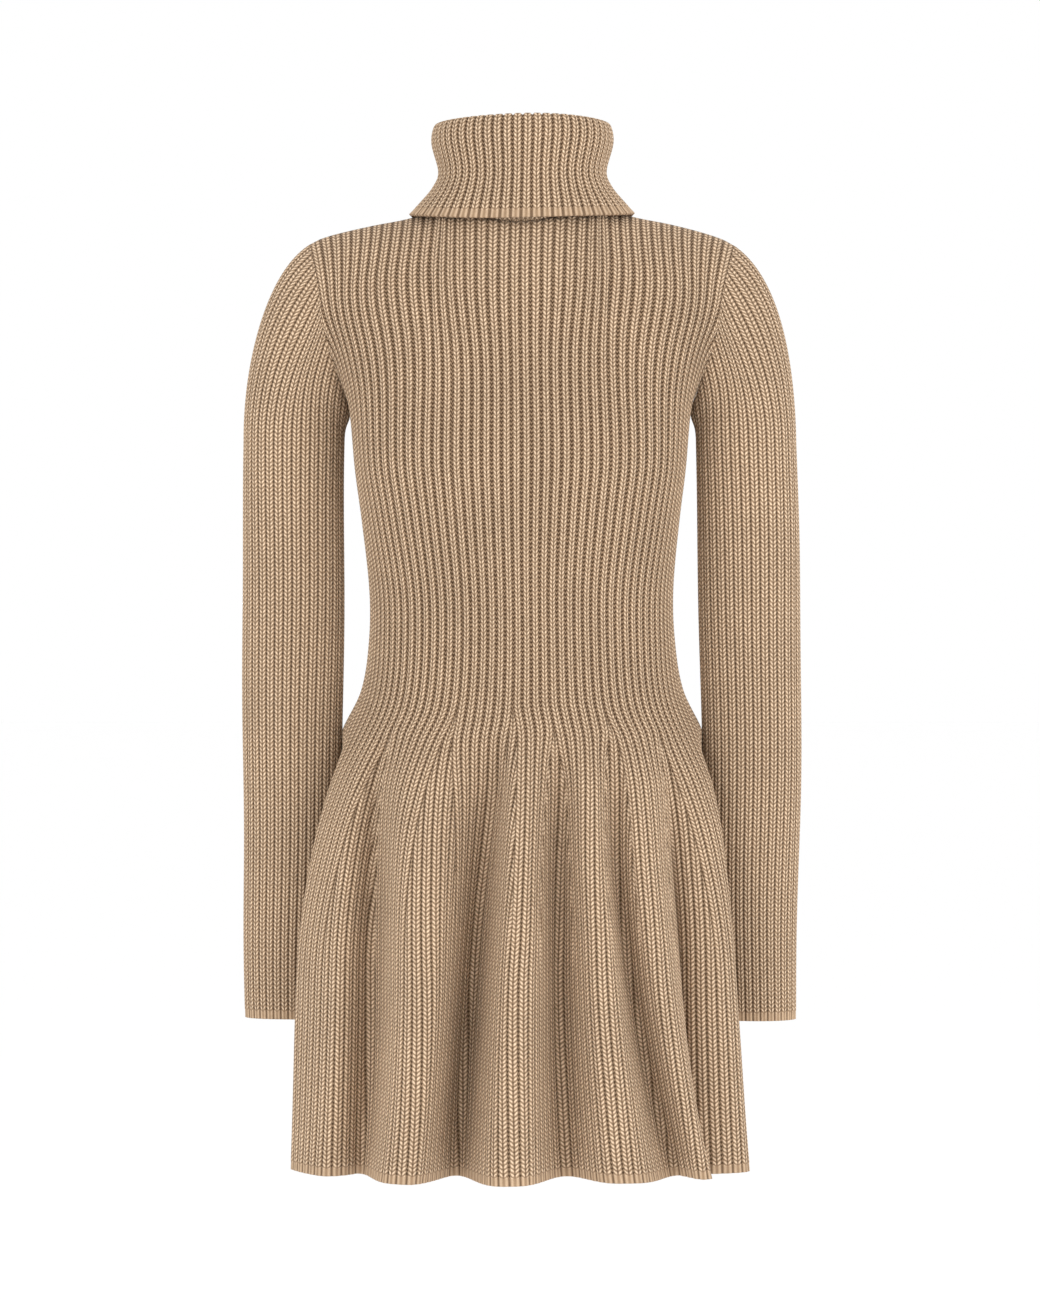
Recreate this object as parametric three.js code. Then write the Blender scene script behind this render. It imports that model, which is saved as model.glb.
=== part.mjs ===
// A ribbed knit dress with a roll neck, long sleeves and a short skirt that flares in gores.
// It is a hollow cloth wall, shaped as if worn: two panels, two sleeves and a turned-down collar.
// Millimetres, +Z up. The origin is the middle of the neck base at the height of the shoulder
// points. The front faces -Y, and the wearer's left is +X.
import * as THREE from 'three';

// Driving dimensions of the cloth
const WALL = 3.4; // from a rib's crest to the plain inside
const RIB_HEIGHT = 1.4; // from the groove between two ribs up to their crests
const SEAM_GAP = 0.3;
const YARN_COLOUR = 0xaf9479;

// Ribs: a panel counts its ribs from -25 at one side seam to 25 at the other, with a groove at
// each whole number. Ribs beyond 21 end along the armhole, most of them near the underarm. The
// shoulder seam runs from rib 8.5 to rib 21, and the neck lies between.
const SIDE_RIB = 25;
const NECK_RIB = 8.5;
const TIP_RIB = 21;
const ARMHOLE_DECREASE = 5; // power of the ribs' loss along the armhole
const SLEEVE_RIBS = 32;
const COLLAR_RIBS = 56;

// Heights
const HEM = -806;
const UNDERARM_RING = -158;
const FOLDS_START = -440;
const FOLDS_MIDDLE = -600;
const FOLDS_TOP = -483;

// The dress all round at some heights: half widths of its front and back halves, how far it
// stands in front of and behind the middle, and how square its section is (2 is an ellipse)
const SECTIONS = [
  { z: -806, widthFront: 199, widthBack: 200, front: 150, back: 152, square: 2 },
  { z: -690, widthFront: 195, widthBack: 198, front: 145, back: 147, square: 2 },
  { z: -600, widthFront: 190, widthBack: 194, front: 138, back: 139, square: 2 },
  { z: -533, widthFront: 179, widthBack: 186, front: 129, back: 129, square: 2 },
  { z: -483, widthFront: 163, widthBack: 173, front: 119, back: 118, square: 2.05 },
  { z: -438, widthFront: 142, widthBack: 156, front: 105, back: 106, square: 2.1 },
  { z: -407, widthFront: 132, widthBack: 138, front: 98, back: 97, square: 2.15 },
  { z: -365, widthFront: 128.5, widthBack: 129, front: 93, back: 87, square: 2.25 },
  { z: -323, widthFront: 128, widthBack: 128, front: 93, back: 83, square: 2.35 },
  { z: -265, widthFront: 133, widthBack: 133, front: 101, back: 88, square: 2.6 },
  { z: -215, widthFront: 139, widthBack: 139, front: 107, back: 95, square: 2.75 },
  { z: -158, widthFront: 143, widthBack: 143, front: 99, back: 98, square: 2.75 },
  { z: -140, widthFront: 146, widthBack: 146, front: 94, back: 97, square: 2.7 },
];

// Lines of the skirt's folds, counted round from the front middle in degrees, at three heights.
// A crest has no depth, and a trough's depth is the one at the hem. Where a sleeve hangs, the
// side is pressed in to NEST_HALF_WIDTH.
const NEST_HALF_WIDTH = 146.5;
const FOLD_LEAN = 0.3; // how much a trough moves sideways as it goes in, 1 is square to the cloth
const FOLD_SLOWING = 2.2; // power of the growth of a fold, which is fast at its top and slow at the hem
const FOLD_LINES = [
  { name: 'right side, back', top: -101, middle: -101, hem: -101, depth: 'nest' },
  { name: 'right side, front', top: -90, middle: -90, hem: -90, depth: 'nest' },
  { name: 'right lobe', top: -76, middle: -77, hem: -78, depth: 0 },
  { name: 'front crest 1', top: -66, middle: -60.9, hem: -60, depth: 0 },
  { name: 'front trough 1', top: -58, middle: -52.2, hem: -50, depth: 46 },
  { name: 'front crest 2', top: -38.8, middle: -32.4, hem: -36.4, depth: -5 },
  { name: 'front trough 2', top: -13, middle: -17, hem: -22.5, depth: 68 },
  { name: 'front crest 3', top: -1, middle: -2, hem: -4, depth: 0 },
  { name: 'front trough 3', top: 13.5, middle: 11.6, hem: 11.8, depth: 50 },
  { name: 'front crest 4', top: 24, middle: 23.9, hem: 27.8, depth: 0 },
  { name: 'front trough 4', top: 36, middle: 34.5, hem: 46, depth: 24 },
  { name: 'front crest 5', top: 44.7, middle: 42.5, hem: 54, depth: 0 },
  { name: 'front trough 5', top: 60, middle: 57, hem: 63.5, depth: 36 },
  { name: 'left lobe', top: 76, middle: 72, hem: 76, depth: 0 },
  { name: 'left side, front', top: 90, middle: 90, hem: 90, depth: 'nest' },
  { name: 'left side, back', top: 101, middle: 101, hem: 101, depth: 'nest' },
  { name: 'back crest 1', top: 112, middle: 113, hem: 114, depth: 0 },
  { name: 'back trough 1', top: 126, middle: 128, hem: 130, depth: 38 },
  { name: 'back crest 2', top: 141, middle: 143, hem: 145, depth: 0 },
  { name: 'back trough 2', top: 155, middle: 158, hem: 160, depth: 60 },
  { name: 'back crest 3', top: 171, middle: 173, hem: 176, depth: 0 },
  { name: 'back trough 3', top: 188, middle: 190, hem: 194, depth: 58 },
  { name: 'back crest 4', top: 205, middle: 207, hem: 211, depth: -3 },
  { name: 'back trough 4', top: 220, middle: 223, hem: 227, depth: 44 },
  { name: 'back crest 5', top: 244, middle: 245, hem: 246, depth: 0 },
];

// Gores: each starts at a point between two ribs and widens, more and more slowly, to GORE_RIBS
// ribs of its own
const GORE_RIBS = 7;
const GORE_LENGTH = 190;
const GORE_SLOWING = 1.8;
const FRONT_GORES = [
  { rib: -20, top: -442 },
  { rib: -14, top: -432 },
  { rib: -7, top: -422 },
  { rib: 2, top: -426 },
  { rib: 9, top: -420 },
  { rib: 16, top: -434 },
];
const BACK_GORES = [
  { rib: -19, top: -438 },
  { rib: -12, top: -428 },
  { rib: -5, top: -422 },
  { rib: 4, top: -424 },
  { rib: 11, top: -426 },
  { rib: 19, top: -440 },
];

// Neck seam: an oval, lower in front than behind
const NECK_HALF_WIDTH = 68;
const NECK_DEPTH_RATIO = 0.93;
const NECK_MIDDLE_Y = -3;
const NECK_SIDE_Z = 3;
const NECK_FRONT_DROP = 24;
const NECK_BACK_RISE = 7;
const NECK_SEAM_LIFT = 0.5; // the seam's wall leans this far towards flat
const NECK_CLIMB = { back: 0.48, up: 0.88 }; // the way that ribs run into the neck seam

// Shoulder seam, from the neck to the sleeve, a little in front of the ridge of the shoulder
const SHOULDER_SEAM_Y = -5;
const SHOULDER_CREST_SLOPE = 0.14;
const SHOULDER_LINE = [
  { x: 68, z: 3 },
  { x: 78, z: -4.5 },
  { x: 92, z: -10.5 },
  { x: 123, z: -17 },
  { x: 150, z: -23.5 },
  { x: 168, z: -29 },
  { x: 178, z: -34 },
];

// Armhole seam of the wearer's left, a closed loop in evenly spaced points
const ARMHOLE = [
  { x: 178, y: 0, z: -34 },
  { x: 173, y: -25, z: -53 },
  { x: 167, y: -38, z: -82 },
  { x: 163, y: -43, z: -112 },
  { x: 152, y: -31, z: -140 },
  { x: 143, y: 0, z: -158 },
  { x: 152, y: 33, z: -141 },
  { x: 162, y: 46, z: -112 },
  { x: 168, y: 40, z: -82 },
  { x: 174, y: 26, z: -53 },
];
const ARMHOLE_MIDDLE = new THREE.Vector3(162, 0, -96);
const ARMHOLE_REACH = 3; // power of the fall of the armhole's shape into the panel

// How far a rib runs straight on from the underarm and into the upper seam, as shares of its way
const YOKE_START = 0.38;
const YOKE_END = 0.34;

// Sleeve: half width and half depth of the tube and its middle, from the cap to the cuff
const SLEEVE_SECTIONS = [
  { z: -684, middleX: 194, middleY: 12, halfWidth: 38, halfDepth: 26 },
  { z: -560, middleX: 193.4, middleY: 12, halfWidth: 40.5, halfDepth: 28 },
  { z: -416, middleX: 192.8, middleY: 9, halfWidth: 42.4, halfDepth: 30 },
  { z: -300, middleX: 191.5, middleY: 4, halfWidth: 42.8, halfDepth: 33.5 },
  { z: -200, middleX: 189.6, middleY: 1, halfWidth: 42.4, halfDepth: 37.5 },
];
const CAP_END = -200;
// How the cap leaves the armhole, and how high above CAP_END it turns straight down
const CAP_STARTS = [
  { at: 'top', out: 34, down: 22, turn: 80 },
  { at: 'back', out: 12, down: 35, turn: 50 },
  { at: 'underarm', out: 0, down: 15, turn: 20 },
  { at: 'front', out: 12, down: 35, turn: 50 },
];

// Collar: its visible face, from the neck seam up inside, over the roll and down outside.
// A turned-down row gives how far down it lies, 0 at TURN_TOP and 1 at the edge.
const ROLL_MIDDLE = { halfWidth: 69.3, z: 60.8 };
const ROLL_RADIUS = 6.8;
const TURN_TOP = 51;
const EDGE_SIDE_Z = -4.5;
const EDGE_FRONT_DROP = 14.1;
const STAND_ROWS = [
  { halfWidth: 61.8, z: 20 },
  { halfWidth: 62.4, z: 50 },
];
const ROLL_ANGLES = [140, 90, 40];
const TURN_ROWS = [
  { halfWidth: 76.4, down: 0 },
  { halfWidth: 70.5, down: 0.4 },
  { halfWidth: 75, down: 0.62 },
  { halfWidth: 84.5, down: 0.82 },
  { halfWidth: 94.5, down: 1 },
];

// Rows of points: heights below the underarm, and shares of the way up from there to the seams
const SKIRT_AND_BODICE_ROWS = [-806, -700, -605, -530, -475, -430, -370, -300, -230, -158];
const YOKE_ROWS = [0.12, 0.25, 0.4, 0.6, 0.8, 1];
const SLEEVE_ROWS = [-684, -480, -330, -200];
const CAP_ROWS = [0.25, 0.5, 0.77, 1];

const UP = new THREE.Vector3(0, 0, 1);
const vector = (x, y, z) => new THREE.Vector3(x, y, z);
const mix = (a, b, t) => a + (b - a) * t;
const clamp = (value, low, high) => Math.min(high, Math.max(low, value));
const radians = (degrees) => (degrees * Math.PI) / 180;

// A smooth curve through one column of a table whose rows rise along another column
function curveThrough(rows, along, column) {
  const at = rows.map((row) => row[along]);
  const values = rows.map((row) => row[column]);
  const last = rows.length - 1;
  const slopes = at.map((_, i) => {
    const before = Math.max(0, i - 1);
    const after = Math.min(last, i + 1);
    return (values[after] - values[before]) / (at[after] - at[before]);
  });
  return (x) => {
    let i = 0;
    while (i < last - 1 && x > at[i + 1]) i += 1;
    const span = at[i + 1] - at[i];
    const t = clamp((x - at[i]) / span, 0, 1);
    const rise = values[i + 1] - values[i];
    const startBend = slopes[i] * span - rise;
    const endBend = rise - slopes[i + 1] * span;
    return values[i] + rise * t + t * (1 - t) * (startBend * (1 - t) + endBend * t);
  };
}

// A point on a closed loop of points, at a share of the way round it
function loopPoint(loop, share) {
  const position = share * loop.length;
  const i = Math.floor(position);
  const t = position - i;
  const around = [-1, 0, 1, 2].map((step) => loop[(i + step + loop.length) % loop.length]);
  const [before, from, to, after] = around;
  const along = (key) => {
    const startSlope = (to[key] - before[key]) / 2;
    const endSlope = (after[key] - from[key]) / 2;
    const rise = to[key] - from[key];
    const bend = (startSlope - rise) * (1 - t) + (rise - endSlope) * t;
    return from[key] + rise * t + t * (1 - t) * bend;
  };
  return vector(along('x'), along('y'), along('z'));
}

function bezier(start, startHandle, endHandle, end, t) {
  const rest = 1 - t;
  return vector(0, 0, 0)
    .addScaledVector(start, rest ** 3)
    .addScaledVector(startHandle, 3 * rest * rest * t)
    .addScaledVector(endHandle, 3 * rest * t * t)
    .addScaledVector(end, t ** 3);
}

// Collects a piece's points and triangles. Points that coincide become one, and triangles that
// this leaves without an area are dropped.
class Shell {
  constructor() {
    this.coordinates = [];
    this.triangles = [];
    this.known = new Map();
  }

  point(p) {
    const key = [p.x, p.y, p.z].map((value) => Math.round(value * 1000)).join(' ');
    if (!this.known.has(key)) {
      this.known.set(key, this.coordinates.length / 3);
      this.coordinates.push(p.x, p.y, p.z);
    }
    return this.known.get(key);
  }

  row(points, along) {
    return { ids: points.map((p) => this.point(p)), along };
  }

  triangle(a, b, c) {
    if (a !== b && b !== c && c !== a) this.triangles.push(a, b, c);
  }

  // Fills the strip between two rows, which may have different numbers of points. Seen from
  // the side that it faces, both rows run to the right and the second lies above the first.
  strip(lower, upper) {
    let i = 0;
    let j = 0;
    while (i < lower.ids.length - 1 || j < upper.ids.length - 1) {
      const nextLower = i < lower.ids.length - 1 ? lower.along[i + 1] : Infinity;
      const nextUpper = j < upper.ids.length - 1 ? upper.along[j + 1] : Infinity;
      const even = Math.abs(nextLower - nextUpper) < 1e-9;
      if (even ? (i + j) % 2 === 0 : nextLower < nextUpper) {
        this.triangle(lower.ids[i], lower.ids[i + 1], upper.ids[j]);
        i += 1;
      } else {
        this.triangle(lower.ids[i], upper.ids[j + 1], upper.ids[j]);
        j += 1;
      }
    }
  }

  geometry(mirrored = false) {
    const index = [...this.triangles];
    const coordinates = [...this.coordinates];
    if (mirrored) {
      for (let i = 0; i < coordinates.length; i += 3) coordinates[i] *= -1;
      for (let i = 0; i < index.length; i += 3) [index[i], index[i + 1]] = [index[i + 1], index[i]];
    }
    const geometry = new THREE.BufferGeometry();
    geometry.setAttribute('position', new THREE.Float32BufferAttribute(coordinates, 3));
    geometry.setIndex(index);
    geometry.computeVertexNormals();
    return geometry;
  }
}

// The body's ring at a height: a squared oval whose skirt is pressed in along the fold lines
const sectionCurve = {};
for (const column of ['widthFront', 'widthBack', 'front', 'back', 'square']) {
  sectionCurve[column] = curveThrough(SECTIONS, 'z', column);
}

function foldLineAt(line, z) {
  const t = clamp((FOLDS_TOP - z) / (FOLDS_TOP - HEM), 0, 1);
  const m = (FOLDS_TOP - FOLDS_MIDDLE) / (FOLDS_TOP - HEM);
  const straight = mix(line.top, line.hem, t);
  const bend = (line.middle - mix(line.top, line.hem, m)) / (m * (1 - m));
  return straight + bend * t * (1 - t);
}

function bodyRing(z) {
  const section = {};
  for (const column of Object.keys(sectionCurve)) section[column] = sectionCurve[column](z);
  const grown = 1 - (1 - clamp((FOLDS_START - z) / (FOLDS_START - HEM), 0, 1)) ** FOLD_SLOWING;
  const sideWidth = (section.widthFront + section.widthBack) / 2;
  const nest = Math.max(0, sideWidth - NEST_HALF_WIDTH);
  const lines = FOLD_LINES.map((line) => ({
    angle: foldLineAt(line, z),
    depth: line.depth === 'nest' ? nest : line.depth * grown,
  }));
  lines.push({ angle: lines[0].angle + 360, depth: lines[0].depth });

  const depthAt = (degrees) => {
    let angle = degrees;
    while (angle < lines[0].angle) angle += 360;
    while (angle >= lines[0].angle + 360) angle -= 360;
    let i = 0;
    while (angle >= lines[i + 1].angle) i += 1;
    const t = (angle - lines[i].angle) / (lines[i + 1].angle - lines[i].angle);
    return mix(lines[i].depth, lines[i + 1].depth, (1 - Math.cos(Math.PI * t)) / 2);
  };

  return (degrees) => {
    const side = Math.sin(radians(degrees));
    const forward = Math.cos(radians(degrees));
    const frontShare = THREE.MathUtils.smoothstep(forward, -0.5, 0.5);
    const halfWidth = mix(section.widthBack, section.widthFront, frontShare);
    const halfDepth = forward > 0 ? section.front : section.back;
    const power = section.square;
    const sum = Math.abs(side / halfWidth) ** power + Math.abs(forward / halfDepth) ** power;
    const reach = sum ** (-1 / power);
    const x = reach * side;
    const y = -reach * forward;
    const inward = vector((-FOLD_LEAN * x) / halfWidth ** 2, -y / halfDepth ** 2, 0).normalize();
    const atSide = THREE.MathUtils.smoothstep(Math.abs(side), 0.8, 0.98);
    inward.lerp(vector(-Math.sign(x), 0, 0), atSide).normalize();
    return vector(x, y, z).addScaledVector(inward, depthAt(degrees));
  };
}

// Angles at even steps of cloth along a ring, from one angle to another
const RING_STEPS = 400;
const ringCache = new Map();
function ringAngle(makeRing, z, from, to, share) {
  const key = [makeRing.name, z, from].join(' ');
  if (!ringCache.has(key)) {
    const ring = makeRing(z);
    const lengths = [0];
    let before = ring(from);
    for (let i = 1; i <= RING_STEPS; i += 1) {
      const here = ring(mix(from, to, i / RING_STEPS));
      lengths.push(lengths[i - 1] + here.distanceTo(before));
      before = here;
    }
    ringCache.set(key, lengths);
  }
  const lengths = ringCache.get(key);
  const wanted = clamp(share, 0, 1) * lengths[RING_STEPS];
  let low = 0;
  let high = RING_STEPS;
  while (high - low > 1) {
    const between = (low + high) >> 1;
    if (lengths[between] <= wanted) low = between;
    else high = between;
  }
  const t = (wanted - lengths[low]) / (lengths[high] - lengths[low]);
  return mix(from, to, (low + t) / RING_STEPS);
}

// A ring's point and its outward direction
function ringSurface(makeRing, z, degrees) {
  const ring = makeRing(z);
  const round = ring(degrees + 0.5).sub(ring(degrees - 0.5));
  const rise = makeRing(z + 1)(degrees).sub(makeRing(z - 1)(degrees));
  return { point: ring(degrees), outward: round.cross(rise).normalize() };
}

// The seams that end a panel at the top, for the half of the panel on the wearer's left
const shoulderHeight = curveThrough(SHOULDER_LINE, 'x', 'z');

function neckPoint(sideShare, isFront) {
  const forward = Math.sqrt(Math.max(0, 1 - sideShare * sideShare)) * (isFront ? 1 : -1);
  const drop = isFront ? -NECK_FRONT_DROP : NECK_BACK_RISE;
  return vector(
    NECK_HALF_WIDTH * sideShare,
    NECK_MIDDLE_Y - NECK_DEPTH_RATIO * NECK_HALF_WIDTH * forward,
    NECK_SIDE_Z + drop * forward * forward,
  );
}

function neckOutward(point) {
  const flat = vector(point.x, point.y - NECK_MIDDLE_Y, 0).normalize();
  return flat.addScaledVector(UP, NECK_SEAM_LIFT).normalize();
}

function shoulderPoint(share) {
  const x = mix(NECK_HALF_WIDTH, ARMHOLE[0].x, share);
  const bow = SHOULDER_SEAM_Y * Math.sin(Math.PI * share);
  return vector(x, mix(NECK_MIDDLE_Y, ARMHOLE[0].y, share) + bow, shoulderHeight(x));
}

function armholePoint(share, isFront) {
  return loopPoint(ARMHOLE, isFront ? share / 2 : (1 - share / 2) % 1);
}

// The direction down the armhole seam, and the one across it that leads away from the body
function armholeFrame(share, isFront) {
  const lower = armholePoint(clamp(share + 0.01, 0, 1), isFront);
  const upper = armholePoint(clamp(share - 0.01, 0, 1), isFront);
  const down = lower.sub(upper);
  if (share < 0.001) down.set(0, isFront ? -1 : 1, 0);
  if (share > 0.999) down.set(0, isFront ? 1 : -1, 0);
  down.normalize();
  const outward = armholePoint(share, isFront).sub(ARMHOLE_MIDDLE);
  outward.addScaledVector(down, -outward.dot(down)).normalize();
  const away = down.clone().cross(outward).normalize();
  if (away.x < 0) away.negate();
  return { down, outward, away };
}

// Under the arm the two walls face each other across the seam, so each keeps its own direction
const ownWall = (share) => THREE.MathUtils.smoothstep(share, 0.4, 0.7);

// A panel's upper seam, at a share of the way from its middle to the shoulder tip: its point,
// the wall's outward direction and the way that the ribs run into it
function upperSeam(share, isFront) {
  const count = Math.abs(share) * TIP_RIB;
  const mirror = (v) => (share * (isFront ? 1 : -1) < 0 ? v.setX(-v.x) : v);
  const back = isFront ? 1 : -1;
  const overShoulder = vector(0, back, back * SHOULDER_CREST_SLOPE).normalize();
  if (count <= NECK_RIB) {
    const sideShare = count / NECK_RIB;
    const point = neckPoint(sideShare, isFront);
    const climb = vector(0, back * NECK_CLIMB.back, NECK_CLIMB.up);
    climb.lerp(overShoulder, sideShare ** 4).normalize();
    return { point: mirror(point.clone()), outward: mirror(neckOutward(point)), climb };
  }
  const along = (count - NECK_RIB) / (TIP_RIB - NECK_RIB);
  const seam = shoulderPoint(Math.min(1, along + 0.01)).sub(shoulderPoint(along - 0.01));
  const outward = seam.cross(vector(0, 1, SHOULDER_CREST_SLOPE)).normalize();
  outward.lerp(armholeFrame(0, isFront).outward, along ** 6).normalize();
  return { point: mirror(shoulderPoint(along)), outward: mirror(outward), climb: overShoulder };
}

// A panel is a surface over a rib's place and a height, or above the underarm a share of the
// way up to the seams
function panelSurface(isFront, gores) {
  const from = isFront ? -90 : 90;
  const to = from + 180;
  const goreWidth = (gore, z) => {
    const left = 1 - clamp((gore.top - z) / GORE_LENGTH, 0, 1);
    return GORE_RIBS * (1 - left ** GORE_SLOWING);
  };

  // How many ribs lie between the first side seam and a column, and how deep in a groove it is
  const place = (column, z) => {
    const widths = gores.map((gore) => goreWidth(gore, z));
    const total = 2 * SIDE_RIB + widths.reduce((sum, width) => sum + width, 0);
    const before = widths.filter((_, i) => gores[i].rib < column.rib);
    const passed = before.reduce((sum, width) => sum + width, 0);
    const start = column.rib + SIDE_RIB + passed;
    if (column.gore === undefined) {
      const groove = 1 - 2 * Math.abs(column.rib - Math.round(column.rib));
      return { share: start / total, groove };
    }
    const half = widths[column.gore] / 2;
    const offset = clamp(column.offset, -half, half);
    const groove = 2 * Math.abs(offset - Math.round(offset));
    const edge = 1 - 2 * (half - Math.abs(offset));
    return { share: (start + half + offset) / total, groove: clamp(Math.max(groove, edge), 0, 1) };
  };

  const below = (column, z) => {
    const { share, groove } = place(column, z);
    const degrees = ringAngle(bodyRing, z, from, to, share);
    return { ...ringSurface(bodyRing, z, degrees), groove };
  };

  // Above the underarm the panel's sides follow the armholes: a surface over a share of the
  // way from its middle to a side and a share of the way up
  const column = (share, rise) => {
    const degrees = ringAngle(bodyRing, UNDERARM_RING, from, to, (share + 1) / 2);
    const start = bodyRing(UNDERARM_RING)(degrees);
    const climb = bodyRing(UNDERARM_RING + 2)(degrees).sub(start).normalize();
    const seam = upperSeam(share, isFront);
    const reach = seam.point.distanceTo(start);
    const startHandle = start.clone().addScaledVector(climb, YOKE_START * reach);
    const endHandle = seam.point.clone().addScaledVector(seam.climb, -YOKE_END * reach);
    return bezier(start, startHandle, endHandle, seam.point, rise);
  };
  const yokePoint = (share, rise) => {
    const inside = clamp(share, -1, 1);
    const side = Math.sign(inside) || 1;
    const armhole = armholePoint(clamp(1 - rise, 0, 1), isFront);
    if (side * (isFront ? 1 : -1) < 0) armhole.setX(-armhole.x);
    const pull = armhole.sub(column(side, rise));
    return column(inside, rise).addScaledVector(pull, Math.abs(inside) ** ARMHOLE_REACH);
  };

  const above = ({ rib }, rise) => {
    const left = mix(TIP_RIB, SIDE_RIB, (1 - rise) ** ARMHOLE_DECREASE);
    const kept = clamp(rib, -left, left);
    const betweenRibs = 1 - 2 * Math.abs(kept - Math.round(kept));
    const groove = Math.max(betweenRibs, 1 - 2 * (left - Math.abs(kept)), 0);
    const share = kept / left;
    const point = yokePoint(share, rise);
    const seam = upperSeam(share, isFront);
    if (rise === 1) return { point, outward: seam.outward, groove };
    const round = yokePoint(share + 0.01, rise).sub(yokePoint(share - 0.01, rise));
    const climb = yokePoint(share, rise + 0.01).sub(yokePoint(share, rise - 0.01));
    const outward = round.cross(climb).normalize();
    if (Math.abs(share) === 1) {
      const shared = armholeFrame(1 - rise, isFront).outward;
      if (share * (isFront ? 1 : -1) < 0) shared.setX(-shared.x);
      outward.lerp(shared, 1 - ownWall(1 - rise)).normalize();
    }
    return { point, outward, groove };
  };

  return { place, below, above };
}

// Columns of a panel: some of its ribs' places, with the places across each gore put in
function panelColumns(ribs, gores, offsets) {
  const columns = [];
  for (const rib of ribs) {
    const gore = gores.findIndex((candidate) => candidate.rib === rib);
    if (gore < 0) columns.push({ rib });
    else for (const offset of offsets) columns.push({ rib, gore, offset });
  }
  return columns;
}

function steps(from, to, step) {
  const count = Math.round((to - from) / step);
  return Array.from({ length: count + 1 }, (_, i) => from + i * step);
}

function buildPanel(isFront, gores) {
  const surface = panelSurface(isFront, gores);
  const shell = new Shell();
  const halfGore = GORE_RIBS / 2;
  const columnsAt = (ribStep, goreStep) => {
    const ribs = new Set([...steps(-SIDE_RIB, SIDE_RIB, ribStep), ...gores.map((gore) => gore.rib)]);
    return panelColumns([...ribs].sort((a, b) => a - b), gores, steps(-halfGore, halfGore, goreStep));
  };
  const crestsAndGrooves = columnsAt(0.5, 0.5);
  const plain = columnsAt(2, halfGore);
  const plainInFolds = columnsAt(1, 1);
  const seamRibs = steps(-TIP_RIB, TIP_RIB, 0.5).filter((rib) => {
    const count = Math.abs(rib);
    return count === TIP_RIB || count <= NECK_RIB || Number.isInteger((count - NECK_RIB) / 2);
  });
  const plainAtSeams = seamRibs.map((rib) => ({ rib }));
  const seamShift = (isFront ? -1 : 1) * (SEAM_GAP / 2);
  const alongOf = (column) => surface.place(column, HEM).share;

  const makeRow = (columns, { evaluate, isTop, isYoke }, depthOf) => {
    const points = columns.map((column) => {
      const { point, outward, groove } = evaluate(column);
      const place = point.clone().addScaledVector(outward, -depthOf(groove));
      const onSide = !isTop && !isYoke && Math.abs(column.rib) === SIDE_RIB;
      const onShoulder = isTop && Math.abs(column.rib) >= NECK_RIB;
      if (onSide || onShoulder) place.y += seamShift;
      return place;
    });
    return shell.row(points, columns.map(alongOf));
  };
  const rows = [
    ...SKIRT_AND_BODICE_ROWS.map((z) => ({
      evaluate: (column) => surface.below(column, z),
      isFolded: z < FOLDS_START,
    })),
    ...YOKE_ROWS.map((rise) => ({
      evaluate: (column) => surface.above(column, rise),
      isYoke: true,
      isTop: rise === 1,
    })),
  ];
  const outer = rows.map((row) => makeRow(crestsAndGrooves, row, (groove) => RIB_HEIGHT * groove));
  const insideColumns = (row) => {
    if (row.isTop) return plainAtSeams;
    return row.isFolded ? plainInFolds : plain;
  };
  const inner = rows.map((row) => makeRow(insideColumns(row), row, () => WALL));

  const ends = (row) => [row.ids[0], row.ids[row.ids.length - 1]];
  for (let i = 0; i < rows.length - 1; i += 1) {
    shell.strip(outer[i], outer[i + 1]);
    shell.strip(reversed(inner[i]), reversed(inner[i + 1]));
    const [outerFirst, outerLast] = ends(outer[i]);
    const [innerFirst, innerLast] = ends(inner[i]);
    const [outerFirstUp, outerLastUp] = ends(outer[i + 1]);
    const [innerFirstUp, innerLastUp] = ends(inner[i + 1]);
    shell.strip(pair(innerFirst, outerFirst), pair(innerFirstUp, outerFirstUp));
    shell.strip(pair(outerLast, innerLast), pair(outerLastUp, innerLastUp));
  }
  shell.strip(inner[0], outer[0]);
  shell.strip(outer[rows.length - 1], inner[rows.length - 1]);
  return shell.geometry();
}

function pair(first, second) {
  return { ids: [first, second], along: [0, 1] };
}

// The same row run the other way, for a face that looks inward
function reversed(row) {
  return { ids: [...row.ids].reverse(), along: [...row.along].reverse().map((value) => -value) };
}

// Joins the rows of a tube's outside and inside, from its lower to its upper end
function closeTube(shell, outer, inner) {
  for (let i = 0; i < outer.length - 1; i += 1) {
    shell.strip(outer[i], outer[i + 1]);
    shell.strip(reversed(inner[i]), reversed(inner[i + 1]));
  }
  shell.strip(inner[0], outer[0]);
  shell.strip(outer[outer.length - 1], inner[inner.length - 1]);
}

// The sleeve's ring, counted from its outermost side round the back
const sleeveCurve = {};
for (const column of ['middleX', 'middleY', 'halfWidth', 'halfDepth']) {
  sleeveCurve[column] = curveThrough(SLEEVE_SECTIONS, 'z', column);
}

function sleeveRing(z) {
  const [middleX, middleY] = [sleeveCurve.middleX(z), sleeveCurve.middleY(z)];
  const [halfWidth, halfDepth] = [sleeveCurve.halfWidth(z), sleeveCurve.halfDepth(z)];
  return (degrees) => {
    const angle = radians(degrees);
    return vector(middleX + halfWidth * Math.cos(angle), middleY + halfDepth * Math.sin(angle), z);
  };
}

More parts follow.
